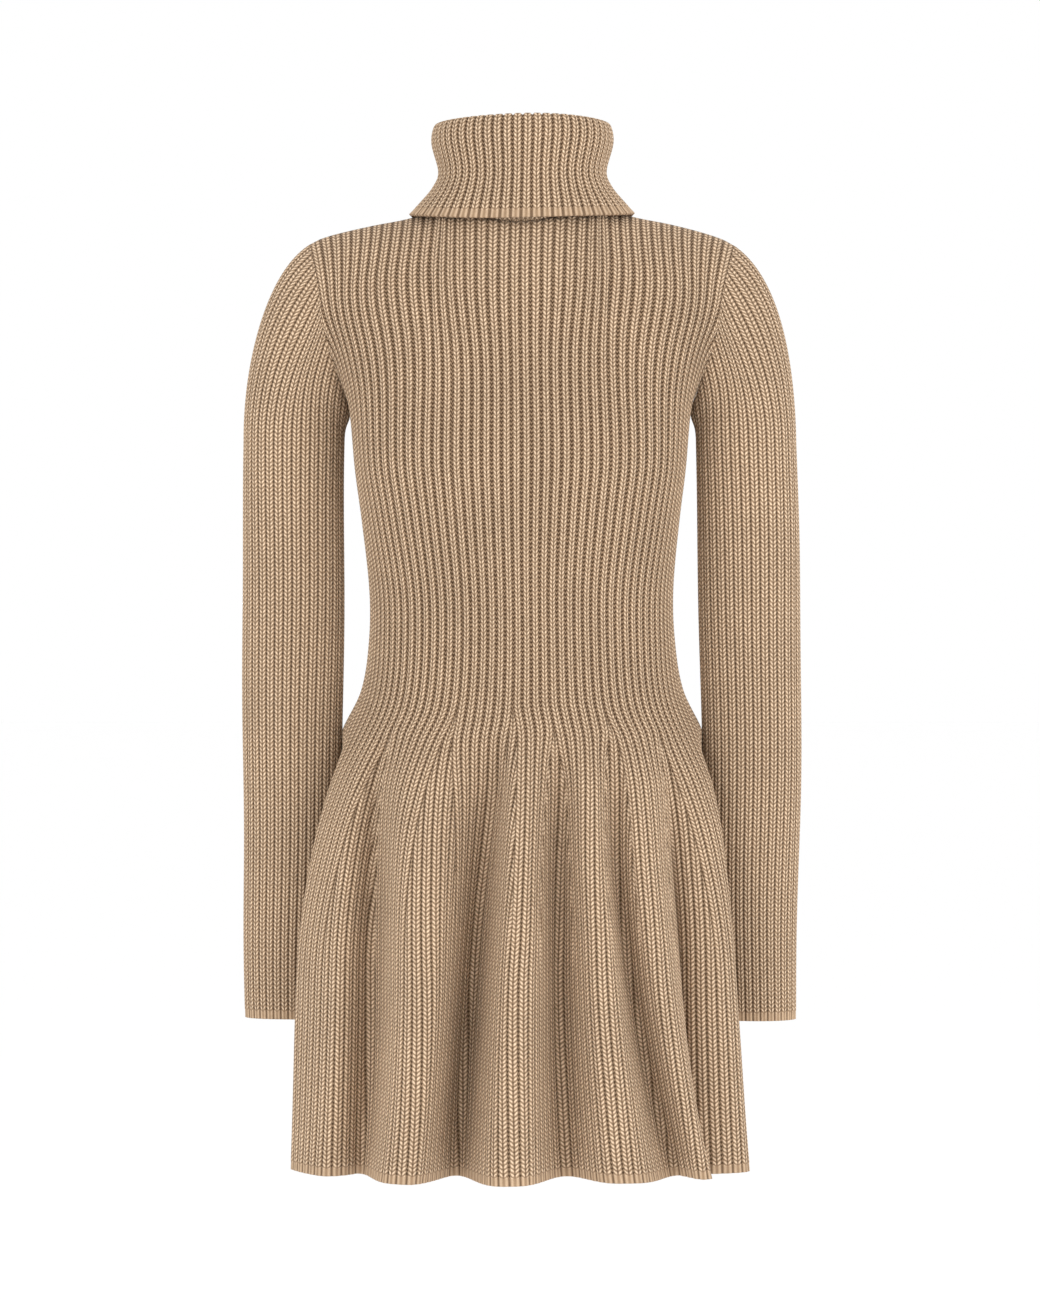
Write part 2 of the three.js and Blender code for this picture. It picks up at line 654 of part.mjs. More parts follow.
// The armhole seam as straight stretches between the panels' rows, at a share of the way round
// the sleeve. Its wall is the one that the panels have there.
const ARMHOLE_NODES = [...YOKE_ROWS.map((rise) => 1 - rise).reverse(), 1];
function armholeEdge(share) {
  const isFront = share > 0.5;
  const down = isFront ? 2 - 2 * share : 2 * share;
  const step = Math.max(0, ARMHOLE_NODES.findIndex((node) => down <= node + 1e-9) - 1);
  const [above, below] = [ARMHOLE_NODES[step], ARMHOLE_NODES[step + 1]];
  const t = (down - above) / (below - above);
  const point = armholePoint(above, isFront).lerp(armholePoint(below, isFront), t);
  const outward = armholeFrame(above, isFront).outward.lerp(armholeFrame(below, isFront).outward, t);
  const away = armholeFrame(down, isFront).away;
  return { point: point.addScaledVector(away, SEAM_GAP), outward, own: ownWall(down) };
}

function buildSleeve(mirrored) {
  const shell = new Shell();
  const capCurve = {};
  const starts = [...CAP_STARTS, CAP_STARTS[0]].map((row, i) => ({ ...row, share: i / 4 }));
  for (const column of ['out', 'down', 'turn']) {
    capCurve[column] = (share) => {
      const i = Math.min(Math.floor(share * 4), 3);
      return mix(starts[i][column], starts[i + 1][column], (1 - Math.cos(Math.PI * (share * 4 - i))) / 2);
    };
  }
  const capPoint = (share, rise) => {
    const wrapped = (share + 1) % 1;
    const degrees = ringAngle(sleeveRing, CAP_END, 0, 360, wrapped);
    const end = sleeveRing(CAP_END)(degrees);
    const seam = armholeEdge(wrapped).point;
    const seamHandle = seam.clone().add(vector(capCurve.out(wrapped), 0, -capCurve.down(wrapped)));
    const endHandle = end.clone().addScaledVector(UP, capCurve.turn(wrapped));
    return bezier(end, endHandle, seamHandle, seam, rise);
  };
  const below = (share, z) => ringSurface(sleeveRing, z, ringAngle(sleeveRing, z, 0, 360, share));
  const above = (share, rise) => {
    const level = Math.min(rise, 0.97);
    const round = capPoint(share + 0.01, level).sub(capPoint(share - 0.01, level));
    const climb = capPoint(share, level + 0.01).sub(capPoint(share, level - 0.01));
    const outward = round.cross(climb).normalize();
    if (rise < 1) return { point: capPoint(share, rise), outward };
    const seam = armholeEdge(share);
    return { point: seam.point, outward: seam.outward.lerp(outward, seam.own) };
  };
  const makeRow = (shares, evaluate, depthOf) => {
    const points = shares.map((share, i) => {
      const { point, outward } = evaluate(share);
      return point.clone().addScaledVector(outward, -depthOf(i));
    });
    return shell.row([...points, points[0]], [...shares, 1]);
  };
  const rows = [
    ...SLEEVE_ROWS.map((z) => (share) => below(share, z)),
    ...CAP_ROWS.map((rise) => (share) => above(share, rise)),
  ];
  const ribShares = Array.from({ length: 2 * SLEEVE_RIBS }, (_, i) => i / (2 * SLEEVE_RIBS));
  const down = ARMHOLE_NODES.map((node) => node / 2);
  const plainShares = [...down, ...down.slice(1, -1).reverse().map((share) => 1 - share)];
  const outer = rows.map((evaluate) => makeRow(ribShares, evaluate, (i) => (i % 2 ? 0 : RIB_HEIGHT)));
  const inner = rows.map((evaluate) => makeRow(plainShares, evaluate, () => WALL));
  closeTube(shell, outer, inner);
  return shell.geometry(mirrored);
}

// The neck seam as straight stretches between the panels' rib ends, at an angle round the neck
function neckEdge(degrees) {
  const side = Math.sin(radians(degrees));
  const isFront = Math.cos(radians(degrees)) >= 0;
  const count = Math.abs(side) * NECK_RIB;
  const step = Math.min(Math.floor(count * 2 + 1e-9), 2 * NECK_RIB - 1);
  const t = count * 2 - step;
  const near = neckPoint(step / (2 * NECK_RIB), isFront);
  const far = neckPoint((step + 1) / (2 * NECK_RIB), isFront);
  const outward = neckOutward(near).lerp(neckOutward(far), t);
  const round = far.clone().sub(near).normalize();
  const away = round.cross(outward).normalize();
  if (away.z < 0) away.negate();
  const point = near.lerp(far, t).addScaledVector(away, SEAM_GAP);
  if (side < 0) for (const v of [point, outward]) v.setX(-v.x);
  return { point, outward };
}

// The collar's section: its visible face as half widths and heights, from the neck seam's side
function collarSection(degrees) {
  const forward = Math.max(0, Math.cos(radians(degrees)));
  const edgeZ = EDGE_SIDE_Z - EDGE_FRONT_DROP * forward ** 1.3;
  const roll = ROLL_ANGLES.map((angle) => ({
    halfWidth: ROLL_MIDDLE.halfWidth + ROLL_RADIUS * Math.cos(radians(angle)),
    z: ROLL_MIDDLE.z + ROLL_RADIUS * Math.sin(radians(angle)),
  }));
  const turned = TURN_ROWS.map((row) => ({ halfWidth: row.halfWidth, z: mix(TURN_TOP, edgeZ, row.down) }));
  return [...STAND_ROWS, ...roll, ...turned];
}

function collarPlace(degrees, halfWidth, z) {
  const [side, forward] = [Math.sin(radians(degrees)), Math.cos(radians(degrees))];
  return vector(halfWidth * side, NECK_MIDDLE_Y - NECK_DEPTH_RATIO * halfWidth * forward, z);
}

// The collar runs from the turned-down edge up, over the roll and down inside to the neck seam,
// so that its visible face looks outward as the rows climb
function buildCollar() {
  const shell = new Shell();
  const makeRows = (count, depthOf) => {
    const angles = Array.from({ length: count }, (_, i) => (360 * i) / count);
    const columns = angles.map((degrees, i) => {
      const section = collarSection(degrees);
      const points = section.map((row, k) => {
        const before = section[Math.max(0, k - 1)];
        const after = section[Math.min(section.length - 1, k + 1)];
        const run = Math.hypot(after.halfWidth - before.halfWidth, after.z - before.z);
        const outX = -(after.z - before.z) / run;
        const outZ = (after.halfWidth - before.halfWidth) / run;
        return collarPlace(degrees, row.halfWidth - outX * depthOf(i), row.z - outZ * depthOf(i));
      });
      const seam = neckEdge(degrees);
      const depth = WALL - depthOf(i);
      return [seam.point.clone().addScaledVector(seam.outward, -depth), ...points].reverse();
    });
    return columns[0].map((_, k) => {
      const points = columns.map((column) => column[k]);
      return shell.row([...points, points[0]], [...angles, 360]);
    });
  };
  const outer = makeRows(2 * COLLAR_RIBS, (i) => (i % 2 ? 0 : RIB_HEIGHT));
  const inner = makeRows(COLLAR_RIBS / 2, () => WALL);
  closeTube(shell, outer, inner);
  return shell.geometry();
}

const yarn = (roughness) => new THREE.MeshStandardMaterial({ color: YARN_COLOUR, roughness, metalness: 0 });

function piece(name, geometry) {
  const mesh = new THREE.Mesh(geometry, yarn(0.95));
  mesh.name = name;
  return mesh;
}

const dress = new THREE.Group();
dress.add(piece('front', buildPanel(true, FRONT_GORES)));
dress.add(piece('back', buildPanel(false, BACK_GORES)));
dress.add(piece('sleeve_left', buildSleeve(false)));
dress.add(piece('sleeve_right', buildSleeve(true)));
dress.add(piece('collar', buildCollar()));

export default dress;
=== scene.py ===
"""A ribbed knit dress with a roll neck, long sleeves and a skirt that flares in gores.

It is hollow, shaped as if worn. Sizes are in millimetres until a mesh is made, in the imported
frame: +Z up, the front faces -Y and the wearer's left is +X.
"""
import math

import bpy
import numpy as np
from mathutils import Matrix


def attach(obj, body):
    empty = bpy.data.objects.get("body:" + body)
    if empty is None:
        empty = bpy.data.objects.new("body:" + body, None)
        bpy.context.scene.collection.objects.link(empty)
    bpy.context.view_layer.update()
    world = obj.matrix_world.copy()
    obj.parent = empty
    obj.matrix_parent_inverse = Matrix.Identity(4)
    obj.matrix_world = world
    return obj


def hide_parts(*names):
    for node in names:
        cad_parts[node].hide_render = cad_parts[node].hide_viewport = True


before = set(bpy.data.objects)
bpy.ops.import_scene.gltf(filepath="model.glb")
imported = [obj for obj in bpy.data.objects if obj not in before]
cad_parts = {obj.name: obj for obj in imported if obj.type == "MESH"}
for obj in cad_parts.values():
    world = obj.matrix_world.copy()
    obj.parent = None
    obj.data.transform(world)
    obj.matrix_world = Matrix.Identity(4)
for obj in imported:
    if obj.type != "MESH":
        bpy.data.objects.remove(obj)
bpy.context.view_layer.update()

# Camera
# It stands level with the waist and looks straight at the front of the dress. Its lens makes
# 1300 rows of the picture cover 1.092 m at the middle of the neck.
CAMERA_PLACE = (-0.001, -3.6, -0.374)
FOCAL_LENGTH = 118.7
SENSOR_WIDTH = 36
camera = bpy.data.objects.new("camera", bpy.data.cameras.new("camera"))
camera.location = CAMERA_PLACE
camera.rotation_euler = (math.radians(90), 0, 0)
camera.data.sensor_width = SENSOR_WIDTH
camera.data.lens = FOCAL_LENGTH
bpy.context.scene.collection.objects.link(camera)
bpy.context.scene.camera = camera

# Studio
# A white even room, and a white floor well below the hem. Three wide soft lamps, one at each
# side in front and one behind, leave the skirt's troughs in shade.
WHITE = (1.0, 1.0, 1.0, 1)
FLOOR_HEIGHT = -1.45
FLOOR_REACH = 60
FLOOR_CORNERS = ((-1, -1), (1, -1), (1, 1), (-1, 1))
LAMP_AIM = np.array([0, 0, -0.5])
LAMP_SIZE = 1.6
LAMPS = (
    # name, place and watts
    ("key_lamp", (-1.9, -2.6, 0.4), 24),
    ("side_lamp", (2.2, -2.2, 0.2), 25),
    ("back_lamp", (1.7, 2.7, 0.5), 22),
)
world = bpy.data.worlds.new("pale_room")
bpy.context.scene.world = world
world.use_nodes = True
room = world.node_tree.nodes["Background"]
room.inputs["Color"].default_value = WHITE
room.inputs["Strength"].default_value = 1.0
bpy.context.scene.view_settings.view_transform = "Standard"

floor_mesh = bpy.data.meshes.new("studio_floor")
floor_mesh.from_pydata(
    [(x * FLOOR_REACH, y * FLOOR_REACH, FLOOR_HEIGHT) for x, y in FLOOR_CORNERS],
    [],
    [(0, 1, 2, 3)],
)
studio_floor = bpy.data.objects.new("studio_floor", floor_mesh)
bpy.context.scene.collection.objects.link(studio_floor)
floor_paint = bpy.data.materials.new("pale_floor")
floor_paint.use_nodes = True
floor_shader = floor_paint.node_tree.nodes["Principled BSDF"]
floor_shader.inputs["Base Color"].default_value = WHITE
floor_shader.inputs["Roughness"].default_value = 0.9
floor_mesh.materials.append(floor_paint)

for name, place, watts in LAMPS:
    lamp = bpy.data.objects.new(name, bpy.data.lights.new(name, "AREA"))
    lamp.data.shape = "SQUARE"
    lamp.data.size = LAMP_SIZE
    lamp.data.energy = watts
    lamp.location = place
    away = np.array(place) - LAMP_AIM
    tilt = math.acos(away[2] / np.linalg.norm(away))
    lamp.rotation_euler = (tilt, 0, math.atan2(away[0], -away[1]))
    bpy.context.scene.collection.objects.link(lamp)

# Front and back of the dress
# Two ribbed panels of wool-blend yarn, 50 ribs each, knitted from the hem up to the shoulders.
# Each has six wedges of seven more ribs knitted in below the waist. The panels are linked at the
# sides and shoulders, and the extra width hangs in folds.
MM = 0.001
WALL = 3.4
RIB_HEIGHT = 1.5
SEAM_GAP = 0.1
HEM = -806
UNDERARM = -171
SIDE_RIB = 25
MIRROR = np.array([-1, 1, 1])
TINY = 1e-9


def mix(a, b, t):
    """A share t of the way from a to b."""
    return a + (b - a) * t


def ease(x, low, high):
    """0 below low and 1 above high, with a smooth S between."""
    t = np.clip((x - low) / (high - low), 0, 1)
    return t * t * (3 - 2 * t)


def unit(v):
    """The directions of vectors, at length 1."""
    return v / np.maximum(np.linalg.norm(v, axis=-1, keepdims=True), TINY)


def toward(v, other, t):
    """The direction a share t of the way from v to another."""
    return unit(mix(v, other, np.asarray(t)[..., None]))


def cubic(start, end, start_slope, end_slope, t):
    """A cubic curve from start (t = 0) to end (t = 1) that has the given slopes there."""
    rise = end - start
    bend = (start_slope - rise) * (1 - t) + (rise - end_slope) * t
    return start + rise * t + t * (1 - t) * bend


def handled(start, near, far, end, t):
    """A cubic curve that leaves start towards one handle and reaches end from another."""
    rest = 1 - t
    return start * rest**3 + near * 3 * rest**2 * t + far * 3 * rest * t**2 + end * t**3


def smooth_curve(at, values):
    """A curve through values at rising places, sloped at each as between its neighbours."""
    at, values = np.array(at, float), np.array(values, float)
    last = len(at) - 1
    before = np.maximum(np.arange(last + 1) - 1, 0)
    after = np.minimum(np.arange(last + 1) + 1, last)
    slopes = (values[after] - values[before]) / (at[after] - at[before])

    def value(x):
        x = np.asarray(x, float)
        i = np.searchsorted(at[1:-1], x)
        span = at[i + 1] - at[i]
        t = np.clip((x - at[i]) / span, 0, 1)
        return cubic(values[i], values[i + 1], slopes[i] * span, slopes[i + 1] * span, t)

    return value


def loop_point(loop, share):
    """A point on a closed smooth loop through evenly spaced points."""
    position = share * len(loop)
    i = np.floor(position).astype(int)
    before, start, end, after = (loop[(i + step) % len(loop)] for step in (-1, 0, 1, 2))
    return cubic(start, end, (end - before) / 2, (after - start) / 2, (position - i)[..., None])


SECTIONS = np.array([
    # height, half width in front, half width behind, front, back, squareness
    (-806, 199, 200, 150, 152, 2),
    (-690, 195, 198, 145, 147, 2),
    (-600, 190, 194, 138, 139, 2),
    (-533, 179, 186, 129, 129, 2),
    (-483, 163, 173, 119, 118, 2.05),
    (-438, 142, 156, 105, 106, 2.1),
    (-407, 132, 138, 98, 97, 2.15),
    (-365, 128.5, 129, 93, 87, 2.25),
    (-323, 128, 128, 93, 83, 2.35),
    (-265, 133, 133, 101, 88, 2.6),
    (-215, 139, 139, 107, 95, 2.75),
    (-171, 142.5, 142.5, 100, 97.5, 2.75),
    (-140, 146, 146, 94, 97, 2.7),
])
FRONT_BLEND = 0.5
FOLDS_START = -440
FOLDS_TOP = -483
FOLDS_MIDDLE = -600
FOLD_SLOWING = 3.4
FOLD_LEAN = 0.3
TROUGH_NARROWING = 1.65
SIDE_PRESS = (0.8, 0.98)
# the nests beside the sleeves: a mark for their lines, and the spans that aren't narrowed
NEST = -100
NEST_SPANS = (0, 1, 13, 14)
NEST_HALF_WIDTH = 150.4
FOLDS = np.array([
    # degrees round from the front middle at the top, in the middle and at the hem, and depth
    (-101, -101, -101, NEST),
    (-90, -90, -90, NEST),
    (-76, -77, -78, 0),
    (-66, -61.5, -65, 0),
    (-58, -52.2, -54, 42),
    (-38.8, -32.4, -36.4, -5),
    (-10, -15.5, -22.5, 72),
    (-0.5, -1, -4, 0),
    (16, 13.8, 15, 55),
    (26.5, 26.5, 32, 0),
    (36, 35.5, 51, 39),
    (45, 43.5, 58, 0),
    (60, 57, 65.5, 38),
    (76, 72, 76, 0),
    (90, 90, 90, NEST),
    (101, 101, 101, NEST),
    (112, 113, 114, 0),
    (126, 128, 130, 38),
    (141, 143, 145, 0),
    (155, 158, 160, 60),
    (171, 173, 176, 0),
    (188, 190, 194, 58),
    (205, 207, 211, -3),
    (220, 223, 227, 44),
    (244, 245, 246, 0),
])
section_curves = [smooth_curve(SECTIONS[:, 0], SECTIONS[:, column]) for column in range(1, 6)]


def fold_depth(degrees, z, side_width):
    """How far the cloth is pressed in: from one fold line to the next the depth follows half a
    cosine wave, raised to a power that narrows the troughs. A line's place bends in a parabola
    from the top through the middle to the hem, and its depth grows downward, fast at first. In
    the nests beside the sleeves the depth is what the skirt has above the nests' half width."""
    top, middle, hem, depth = FOLDS.T
    down = np.clip((FOLDS_TOP - z) / (FOLDS_TOP - HEM), 0, 1)
    half_way = (FOLDS_TOP - FOLDS_MIDDLE) / (FOLDS_TOP - HEM)
    bend = (middle - mix(top, hem, half_way)) / (half_way * (1 - half_way))
    places = mix(top, hem, down) + bend * down * (1 - down)
    grown = 1 - (1 - np.clip((FOLDS_START - z) / (FOLDS_START - HEM), 0, 1)) ** FOLD_SLOWING
    nest = np.maximum(0, side_width - NEST_HALF_WIDTH)
    depths = np.where(depth == NEST, nest, depth * grown)
    places = np.concatenate([places, places[:, :1] + 360], axis=1)
    depths = np.concatenate([depths, depths[:, :1]], axis=1)
    first = places[:, :1]
    angle = first + (degrees - first) % 360
    span = np.zeros(angle.shape, int)
    for i in range(1, len(FOLDS)):
        span += angle >= places[:, i:i + 1]
    from_place, to_place = (np.take_along_axis(places, span + i, 1) for i in (0, 1))
    from_depth, to_depth = (np.take_along_axis(depths, span + i, 1) for i in (0, 1))
    wave = (1 - np.cos(np.pi * (angle - from_place) / (to_place - from_place))) / 2
    share = np.where(to_depth > from_depth, wave, 1 - wave)
    share = np.where(np.isin(span, NEST_SPANS), share, share**TROUGH_NARROWING)
    return mix(np.minimum(from_depth, to_depth), np.maximum(from_depth, to_depth), share)


def body_ring(degrees, z):
    """Points round the dress, a row for each height: a squared oval, |x/w|^n + |y/d|^n = 1, whose
    points are pushed in by the depth of the folds, at the sides straight towards the middle."""
    width_front, width_back, front, back, square = (curve(z) for curve in section_curves)
    side, forward = np.sin(np.radians(degrees)), np.cos(np.radians(degrees))
    width = mix(width_back, width_front, ease(forward, -FRONT_BLEND, FRONT_BLEND))
    depth = np.where(forward > 0, front, back)
    reach = (np.abs(side / width) ** square + np.abs(forward / depth) ** square) ** (-1 / square)
    x, y = reach * side, -reach * forward
    flat = np.zeros_like(x)
    inward = unit(np.stack([-FOLD_LEAN * x / width**2, -y / depth**2, flat], -1))
    sideways = np.stack([-np.sign(x), flat, flat], -1)
    inward = toward(inward, sideways, ease(np.abs(side), *SIDE_PRESS))
    pressed = fold_depth(degrees, z, (width_front + width_back) / 2)
    return np.stack([x, y, z + flat], -1) + inward * pressed[..., None]


RING_STEPS = 1440
DEGREE_STEP = 0.3
HEIGHT_STEP = 1.0
UNIT_STEP = 0.01


def length_along(points):
    """The length along each column of a grid of points, from its first row on."""
    steps = np.linalg.norm(np.diff(points, axis=0), axis=2)
    return np.concatenate([np.zeros((1, points.shape[1])), steps.cumsum(axis=0)])


def even_angles(ring, z, ends, share):
    """Angles at even shares of the cloth's length along each height's ring."""
    angles = np.linspace(*ends, RING_STEPS + 1)
    points = ring(np.broadcast_to(angles, (len(z), RING_STEPS + 1)), z)
    lengths = length_along(points.swapaxes(0, 1)).T
    share = np.broadcast_to(share, (len(z), share.shape[-1]))
    return np.stack([np.interp(s * along[-1], along, angles) for s, along in zip(share, lengths)])


def facing(surface, a, b, step_a, step_b):
    """The outward direction of a surface over a (to the right) and b (up), from its slopes."""
    right = surface(a + step_a, b) - surface(a - step_a, b)
    up = surface(a, b + step_b) - surface(a, b - step_b)
    return unit(np.cross(right, up))


def mirrored(points, share, is_front):
    """The points, or their mirror images where the share is on the wearer's right side."""
    on_left = share * (1 if is_front else -1)
    return points * np.where((on_left < 0)[..., None], MIRROR, 1)


ARMHOLE = np.array([
    (178, 0, -34),
    (173, -25, -53),
    (167, -38, -82),
    (163, -43, -113),
    (152, -33, -147),
    (142.5, 0, -171),
    (152, 35, -148),
    (162, 46, -113),
    (168, 40, -82),
    (174, 26, -53),
], float)
ARMHOLE_MIDDLE = np.array([162.0, 0, -96])
ARMHOLE_END = 0.001
UNDERARM_TURN = (0.4, 0.7)


def armhole_point(share, is_front):
    """The wearer's left armhole seam, from the shoulder tip (0) to the underarm (1)."""
    return loop_point(ARMHOLE, share / 2 if is_front else (1 - share / 2) % 1)


def armhole_frame(share, is_front):
    """At a place on the armhole: the direction out from its middle, and the one across the seam
    that leads away from the body."""
    low, high = np.clip(share - UNIT_STEP, 0, 1), np.clip(share + UNIT_STEP, 0, 1)
    down = armhole_point(high, is_front) - armhole_point(low, is_front)
    forward = np.array([0, -1.0 if is_front else 1.0, 0])
    down = np.where((share < ARMHOLE_END)[..., None], forward, down)
    down = unit(np.where((share > 1 - ARMHOLE_END)[..., None], -forward, down))
    outward = armhole_point(share, is_front) - ARMHOLE_MIDDLE
    outward = unit(outward - (outward * down).sum(-1, keepdims=True) * down)
    away = unit(np.cross(down, outward))
    return outward, away * np.sign(away[..., :1])


NECK_RIB = 8.5
NECK_SPREAD = 0.65
NECK_HALF_WIDTH = 68
NECK_DEPTH_RATIO = 0.93
NECK_MIDDLE_Y = -3
NECK_SIDE_Z = 3
NECK_FRONT_DROP = 24
NECK_BACK_RISE = 7
NECK_SEAM_LIFT = 0.5
NECK_CLIMB = (0.48, 0.88)
NECK_TURN_POWER = 4
TIP_RIB = 21
TIP_TURN_POWER = 6
SHOULDER_SEAM_Y = -5
SHOULDER_CREST_SLOPE = 0.14
SHOULDER_LINE = np.array([
    # distance from the middle, and height
    (68, 3),
    (78, -4.5),
    (92, -10.5),
    (123, -17),
    (150, -23.5),
    (168, -29),
    (178, -34),
])
shoulder_height = smooth_curve(SHOULDER_LINE[:, 0], SHOULDER_LINE[:, 1])


def neck_point(side, is_front):
    """The neck seam, over the share of its half width: an oval, lower in front than behind."""
    forward = np.sqrt(np.maximum(0, 1 - side * side)) * (1 if is_front else -1)
    drop = -NECK_FRONT_DROP if is_front else NECK_BACK_RISE
    return np.stack([
        NECK_HALF_WIDTH * side,
        NECK_MIDDLE_Y - NECK_DEPTH_RATIO * NECK_HALF_WIDTH * forward,
        NECK_SIDE_Z + drop * forward * forward,
    ], -1)


def neck_outward(point):
    """The direction level out from the neck's middle, lifted a little."""
    flat = unit((point - np.array([0, NECK_MIDDLE_Y, 0])) * np.array([1, 1, 0]))
    return unit(flat + np.array([0, 0, NECK_SEAM_LIFT]))


def shoulder_point(share):
    """The shoulder seam from the neck (0) to the sleeve (1), bowed a little to the front."""
    x = mix(NECK_HALF_WIDTH, ARMHOLE[0, 0], share)
    y = mix(NECK_MIDDLE_Y, ARMHOLE[0, 1], share) + SHOULDER_SEAM_Y * np.sin(np.pi * share)
    return np.stack([x, y, shoulder_height(x)], -1)


def upper_seam(share, is_front):
    """A panel's top from its middle (0) to a shoulder tip (1 or -1): the seam's point, the wall's
    outward direction and the way that the ribs run into it."""
    back = 1 if is_front else -1
    over_shoulder = unit(np.array([0, back, back * SHOULDER_CREST_SLOPE]))
    count = np.abs(share) * TIP_RIB
    side = np.clip(count / NECK_RIB, 0, 1)
    side = side + NECK_SPREAD * side**2 * (1 - side)
    neck = neck_point(side, is_front)
    neck_climb = np.array([0, back * NECK_CLIMB[0], NECK_CLIMB[1]]) + 0 * neck
    neck_climb = toward(neck_climb, over_shoulder + 0 * neck, side**NECK_TURN_POWER)
    along = np.clip((count - NECK_RIB) / (TIP_RIB - NECK_RIB), 0, 1)
    seam = shoulder_point(np.minimum(1, along + UNIT_STEP)) - shoulder_point(along - UNIT_STEP)
    outward = unit(np.cross(seam, np.array([0, 1, SHOULDER_CREST_SLOPE])))
    tip_outward = armhole_frame(np.zeros(share.shape), is_front)[0]
    outward = toward(outward, tip_outward, along**TIP_TURN_POWER)
    at_neck = (count <= NECK_RIB)[..., None]
    point = np.where(at_neck, neck, shoulder_point(along))
    outward = np.where(at_neck, neck_outward(neck), outward)
    climb = np.where(at_neck, neck_climb, over_shoulder)
    return mirrored(point, share, is_front), mirrored(outward, share, is_front), climb


POINT_STEPS = 1000


def wall(name, outer, inner, rows, knit_outer, knit_inner, is_open):
    """A closed wall of cloth from two grids of points with the same columns. The outside has
    every row and the inside has some. Rims join them round the edges, points that coincide to a
    thousandth of a millimetre are merged, and faces with no area are left out. Each face corner
    keeps its knit coordinate."""
    high, wide = outer.shape[:2]
    points = np.concatenate([outer.reshape(-1, 3), inner.reshape(-1, 3)])
    knit = np.concatenate([knit_outer.reshape(-1, 4), knit_inner.reshape(-1, 4)])
    out = np.arange(high * wide).reshape(high, wide)
    ins = high * wide + np.arange(len(rows) * wide).reshape(len(rows), wide)

    def between(lower, upper):
        corners = [lower[..., :-1], lower[..., 1:], upper[..., 1:], upper[..., :-1]]
        return np.stack(corners, -1).reshape(-1, 4)

    faces = [
        between(out[:-1], out[1:]),
        between(ins[:-1, ::-1], ins[1:, ::-1]),
        between(ins[0], out[0]),
        between(out[-1], ins[-1]),
    ]
    if is_open:
        step = np.searchsorted(rows, np.arange(high - 1), side="right") - 1
        for column, turn in ((0, 1), (-1, -1)):
            fan = np.stack([ins[step, column], out[:-1, column], out[1:, column]], -1)
            close = np.stack([ins[:-1, column], out[rows[1:], column], ins[1:, column]], -1)
            rim = np.concatenate([fan, close])[:, ::turn]
            faces.append(np.concatenate([rim, rim[:, -1:]], axis=1))
    faces = np.concatenate(faces)
    rounded = np.round(points * POINT_STEPS).astype(int)
    _, first, ids = np.unique(rounded, axis=0, return_index=True, return_inverse=True)
    corners = ids.reshape(-1)[faces]
    kept = corners != np.roll(corners, 1, axis=1)
    folded = (corners[:, 0] == corners[:, 2]) | (corners[:, 1] == corners[:, 3])
    whole = (kept.sum(1) >= 3) & ~folded
    faces, corners, kept = faces[whole], corners[whole], kept[whole]
    sizes = kept.sum(1)
    starts = np.concatenate([[0], sizes.cumsum()[:-1]])

    mesh = bpy.data.meshes.new(name)
    mesh.vertices.add(len(first))
    mesh.vertices.foreach_set("co", (points[first] * MM).astype(np.float32).ravel())
    mesh.loops.add(int(sizes.sum()))
    mesh.loops.foreach_set("vertex_index", corners[kept].astype(np.int32))
    mesh.polygons.add(len(sizes))
    mesh.polygons.foreach_set("loop_start", starts.astype(np.int32))
    mesh.polygons.foreach_set("loop_total", sizes.astype(np.int32))
    mesh.polygons.foreach_set("use_smooth", np.ones(len(sizes), bool))
    mesh.update(calc_edges=True)
    for layer, pair in (("knit", slice(0, 2)), ("cover", slice(2, 4))):
        uv = mesh.uv_layers.new(name=layer)
        uv.data.foreach_set("uv", knit[faces[kept]][:, pair].astype(np.float32).ravel())
    mesh.validate()
    piece = bpy.data.objects.new(name, mesh)
    bpy.context.scene.collection.objects.link(piece)
    return piece


# rows of waves: size in millimetres, lengths along x, y and z, and start
SWAY_WAVES = ((0.8, math.inf, 66, 71, 1.3), (0.5, 90, math.inf, 36, 0))
PUSH_WAVES = ((0.9, 61, math.inf, 47, 0.4), (0.7, -83, 57, 29, 2.1))
LIFT_WAVES = ((0.7, 43, math.inf, math.inf, 0.8), (0.5, 27, 40, math.inf, 2.6))
QUIET_HEIGHTS = (-820, -560)
QUIET_SHARE = 0.4
PUSH_EDGE = 40


def settle(points):
    """The small unevenness of worn cloth: every piece's points move by the same sums of slow sine
    waves, so that the seams stay closed. They move less towards the hem, and not to the front or
    back at the sides."""
    sway, push, lift = (
        sum(size * np.sin((points / lengths).sum(-1) + start) for size, *lengths, start in waves)
        for waves in (SWAY_WAVES, PUSH_WAVES, LIFT_WAVES)
    )
    quiet = mix(QUIET_SHARE, 1, ease(points[..., 2], *QUIET_HEIGHTS))
    away = np.sign(points[..., 1]) * ease(np.abs(points[..., 1]), 0, PUSH_EDGE)
    return points + np.stack([sway * quiet, push * away * quiet, lift], -1)


STITCH = 3.5
EDGE_DEPTH = 7.5
EDGE_BLEND = 1.5
EDGE_INSET = 0.15
EDGE_FLATNESS = 0.35
CREST_FALL = (-0.22, 0.2)
INNER_RELIEF = 0.6


def relief_and_knit(ribs, groove, cover, length):
    """How deep the outside lies below a rib's crest, as a share of the rib's height, and the
    knit coordinate: ribs across, stitches along, the part of a rib that its V stitches cover,
    and 1 in the set-up edge, where the rows start."""
    edge = 1 - ease(length, EDGE_DEPTH - EDGE_BLEND, EDGE_DEPTH)
    furrow = ease(groove, cover + CREST_FALL[0], cover + CREST_FALL[1])
    relief = furrow * (1 - EDGE_FLATNESS * edge) + EDGE_INSET * edge
    knit = np.stack(np.broadcast_arrays(ribs, length / STITCH, cover, edge), -1)
    return relief, knit


